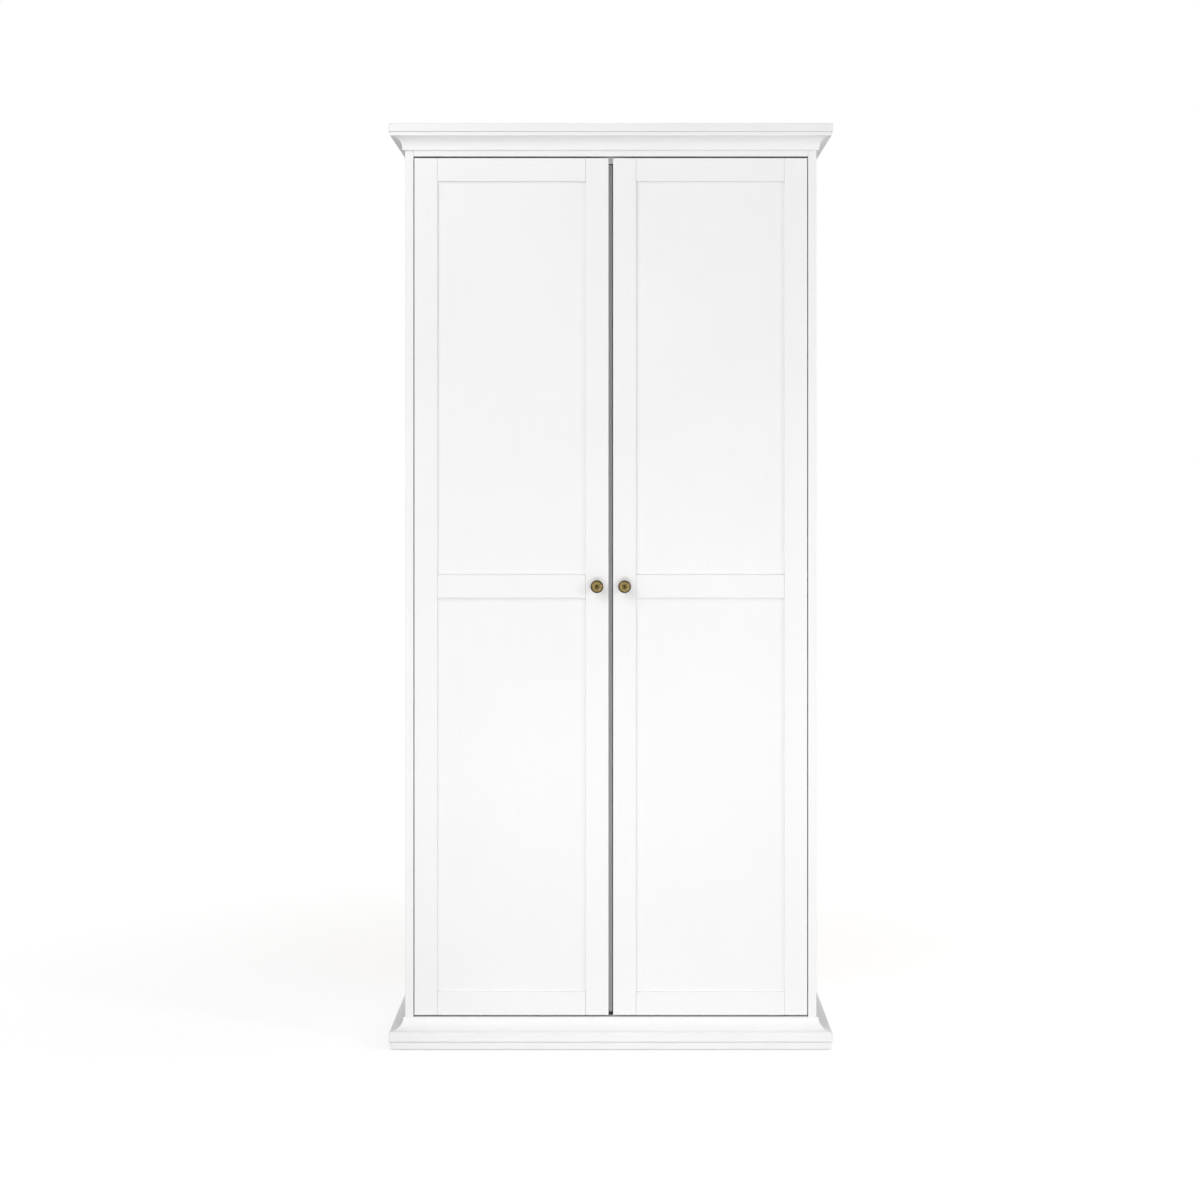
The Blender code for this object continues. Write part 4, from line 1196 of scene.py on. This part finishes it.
def arm_meshes(housing_low, reach, housing_far):
    """Eye, bent neck and housing about the pin's axis."""
    housing_high = housing_low + HOUSING_TALL
    neck = bpy.data.curves.new("neck", "CURVE")
    neck.dimensions = "2D"
    neck.extrude = NECK_WIDE / 2
    neck.resolution_u = 10
    line = neck.splines.new("BEZIER")
    neck_end = (housing_high - NECK_WALL / 2, reach + NECK_WALL)
    bends = [(0.0, 0.0), (0.012, 0.010), (0.0165, 0.0185), (0.0125, reach - 0.0015), (0.002, reach), neck_end]
    line.bezier_points.add(len(bends) - 1)
    for knot, bend in zip(line.bezier_points, bends):
        knot.co = (*bend, 0.0)
        knot.handle_left_type = "AUTO"
        knot.handle_right_type = "AUTO"
    ribbon = new_object("ribbon", neck)
    bpy.context.view_layer.update()
    flat = bpy.data.meshes.new_from_object(ribbon.evaluated_get(bpy.context.evaluated_depsgraph_get()))
    bpy.data.objects.remove(ribbon)
    bm = bmesh.new()
    bm.from_mesh(flat)
    bmesh.ops.remove_doubles(bm, verts=bm.verts, dist=0.00001)
    bm.to_mesh(flat)
    bm.free()
    strap = new_object("strap", flat)
    wall = strap.modifiers.new("wall", "SOLIDIFY")
    wall.thickness = NECK_WALL
    wall.offset = 0.0
    wall.use_even_offset = True
    rim = strap.modifiers.new("rim", "BEVEL")
    rim.width = 0.0003
    rim.segments = 2
    rim.limit_method = "ANGLE"
    rim.angle_limit = radians(50)
    bpy.context.view_layer.update()
    solid = bpy.data.meshes.new_from_object(strap.evaluated_get(bpy.context.evaluated_depsgraph_get()))
    strap.modifiers.clear()
    strap.data = solid
    rod = [(0.0, NECK_WIDE), (EYE_THICK - 0.0003, NECK_WIDE), (EYE_THICK - 0.0003, -NECK_WIDE), (0.0, -NECK_WIDE)]
    carve(strap, taken(turned("rod", rod, (0, 0, 0))))
    eye = ring_mesh(EYE_THICK, PIN_THICK + 0.0003, NECK_WIDE)
    half = 0.0075
    cover = rounded_plate((housing_low, reach, -half), (housing_high, housing_far, half), 0.0032, 0, 0.0009)
    return [taken(strap), eye, cover]


def plate_meshes(face, bed, near, far, wing_reach):
    """Mounting plate: a raised bed with a screw wing above and below."""
    half = 0.0085
    middle = (near + far) / 2
    body = rounded_plate((face, near, -half), (bed, far, half), 0.0020, 0)
    wings = rounded_plate((face, middle - 0.006, -wing_reach), (face + WING_THICK, middle + 0.006, wing_reach), 0.0055, 0)
    return [body, wings]


def mounted(name, meshes, pin, side):
    """Join meshes drawn for a left-hand hinge and set them at a pin, mirrored for the right."""
    for mesh in meshes:
        if side > 0:
            mesh.transform(Matrix.Scale(-1, 4, (1, 0, 0)))
            mesh.flip_normals()
        mesh.transform(Matrix.Translation(pin))
    return merge(name, meshes, nickel)


joints = {joint["child"]: joint for joint in frame["joints"]}
for word, side in (("left", -1), ("right", 1)):
    door = "door_" + word
    pin_x, pin_y = joints[door]["pos_m"][:2]
    cup_screws = []
    plate_screws = []
    arm_screws = []
    for place in HINGES:
        tail = word + "_" + place
        cup_low, cup_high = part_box("hinge_cup_" + tail)
        arm_low, arm_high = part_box("hinge_arm_" + tail)
        plate_low, plate_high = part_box("hinge_plate_" + tail)
        pin = Vector((pin_x, pin_y, (cup_low.z + cup_high.z) / 2))
        inward = -side
        arm_ends = sorted((inward * (arm_low.x - pin_x), inward * (arm_high.x - pin_x)))
        plate_ends = sorted((inward * (plate_low.x - pin_x), inward * (plate_high.x - pin_x)))
        cup_radius = (cup_high.x - cup_low.x) / 2 - CUP_LIP
        reach = 0.0268
        arm_far = arm_high.y - pin_y
        meshes = cup_meshes(cup_radius, cup_low.y - pin_y, cup_high.y - cup_low.y)
        cup = mounted("hinge_cup_pressing_" + tail, meshes, pin, side)
        settle(stands_for(cup, door, "nickel_steel", "hinge_cup_" + tail))
        arm = mounted("hinge_arm_pressing_" + tail, arm_meshes(arm_ends[0], reach, arm_far), pin, side)
        settle(stands_for(arm, "carcass", "nickel_steel", "hinge_arm_" + tail))
        near, far = plate_low.y - pin_y, plate_high.y - pin_y
        meshes = plate_meshes(plate_ends[0], plate_ends[1], near, far, (plate_high.z - plate_low.z) / 2)
        plate = mounted("hinge_plate_casting_" + tail, meshes, pin, side)
        settle(stands_for(plate, "carcass", "nickel_steel", "hinge_plate_" + tail))
        for way in (-1, 1):
            cup_x = pin_x + inward * 0.003
            cup_screws.append((cup_x, cup_high.y - 0.0001, pin.z + way * EAR_SCREW))
            wing_x = pin_x + inward * (plate_ends[0] + WING_THICK)
            plate_screws.append((wing_x, (plate_low.y + plate_high.y) / 2, pin.z + way * 0.016))
            housing_x = pin_x + inward * (arm_ends[0] + HOUSING_TALL)
            arm_screws.append((housing_x, pin_y + reach + 0.021 + way * 0.011, pin.z))
    facing_in = (-side, 0, 0)
    screws("hinge_cup_screws_" + word, door, cup_screws, (0, 1, 0), 0.0034)
    screws("hinge_plate_screws_" + word, "carcass", plate_screws, facing_in, 0.0034)
    screws("hinge_arm_screws_" + word, "carcass", arm_screws, facing_in, 0.0028, 0.0009)
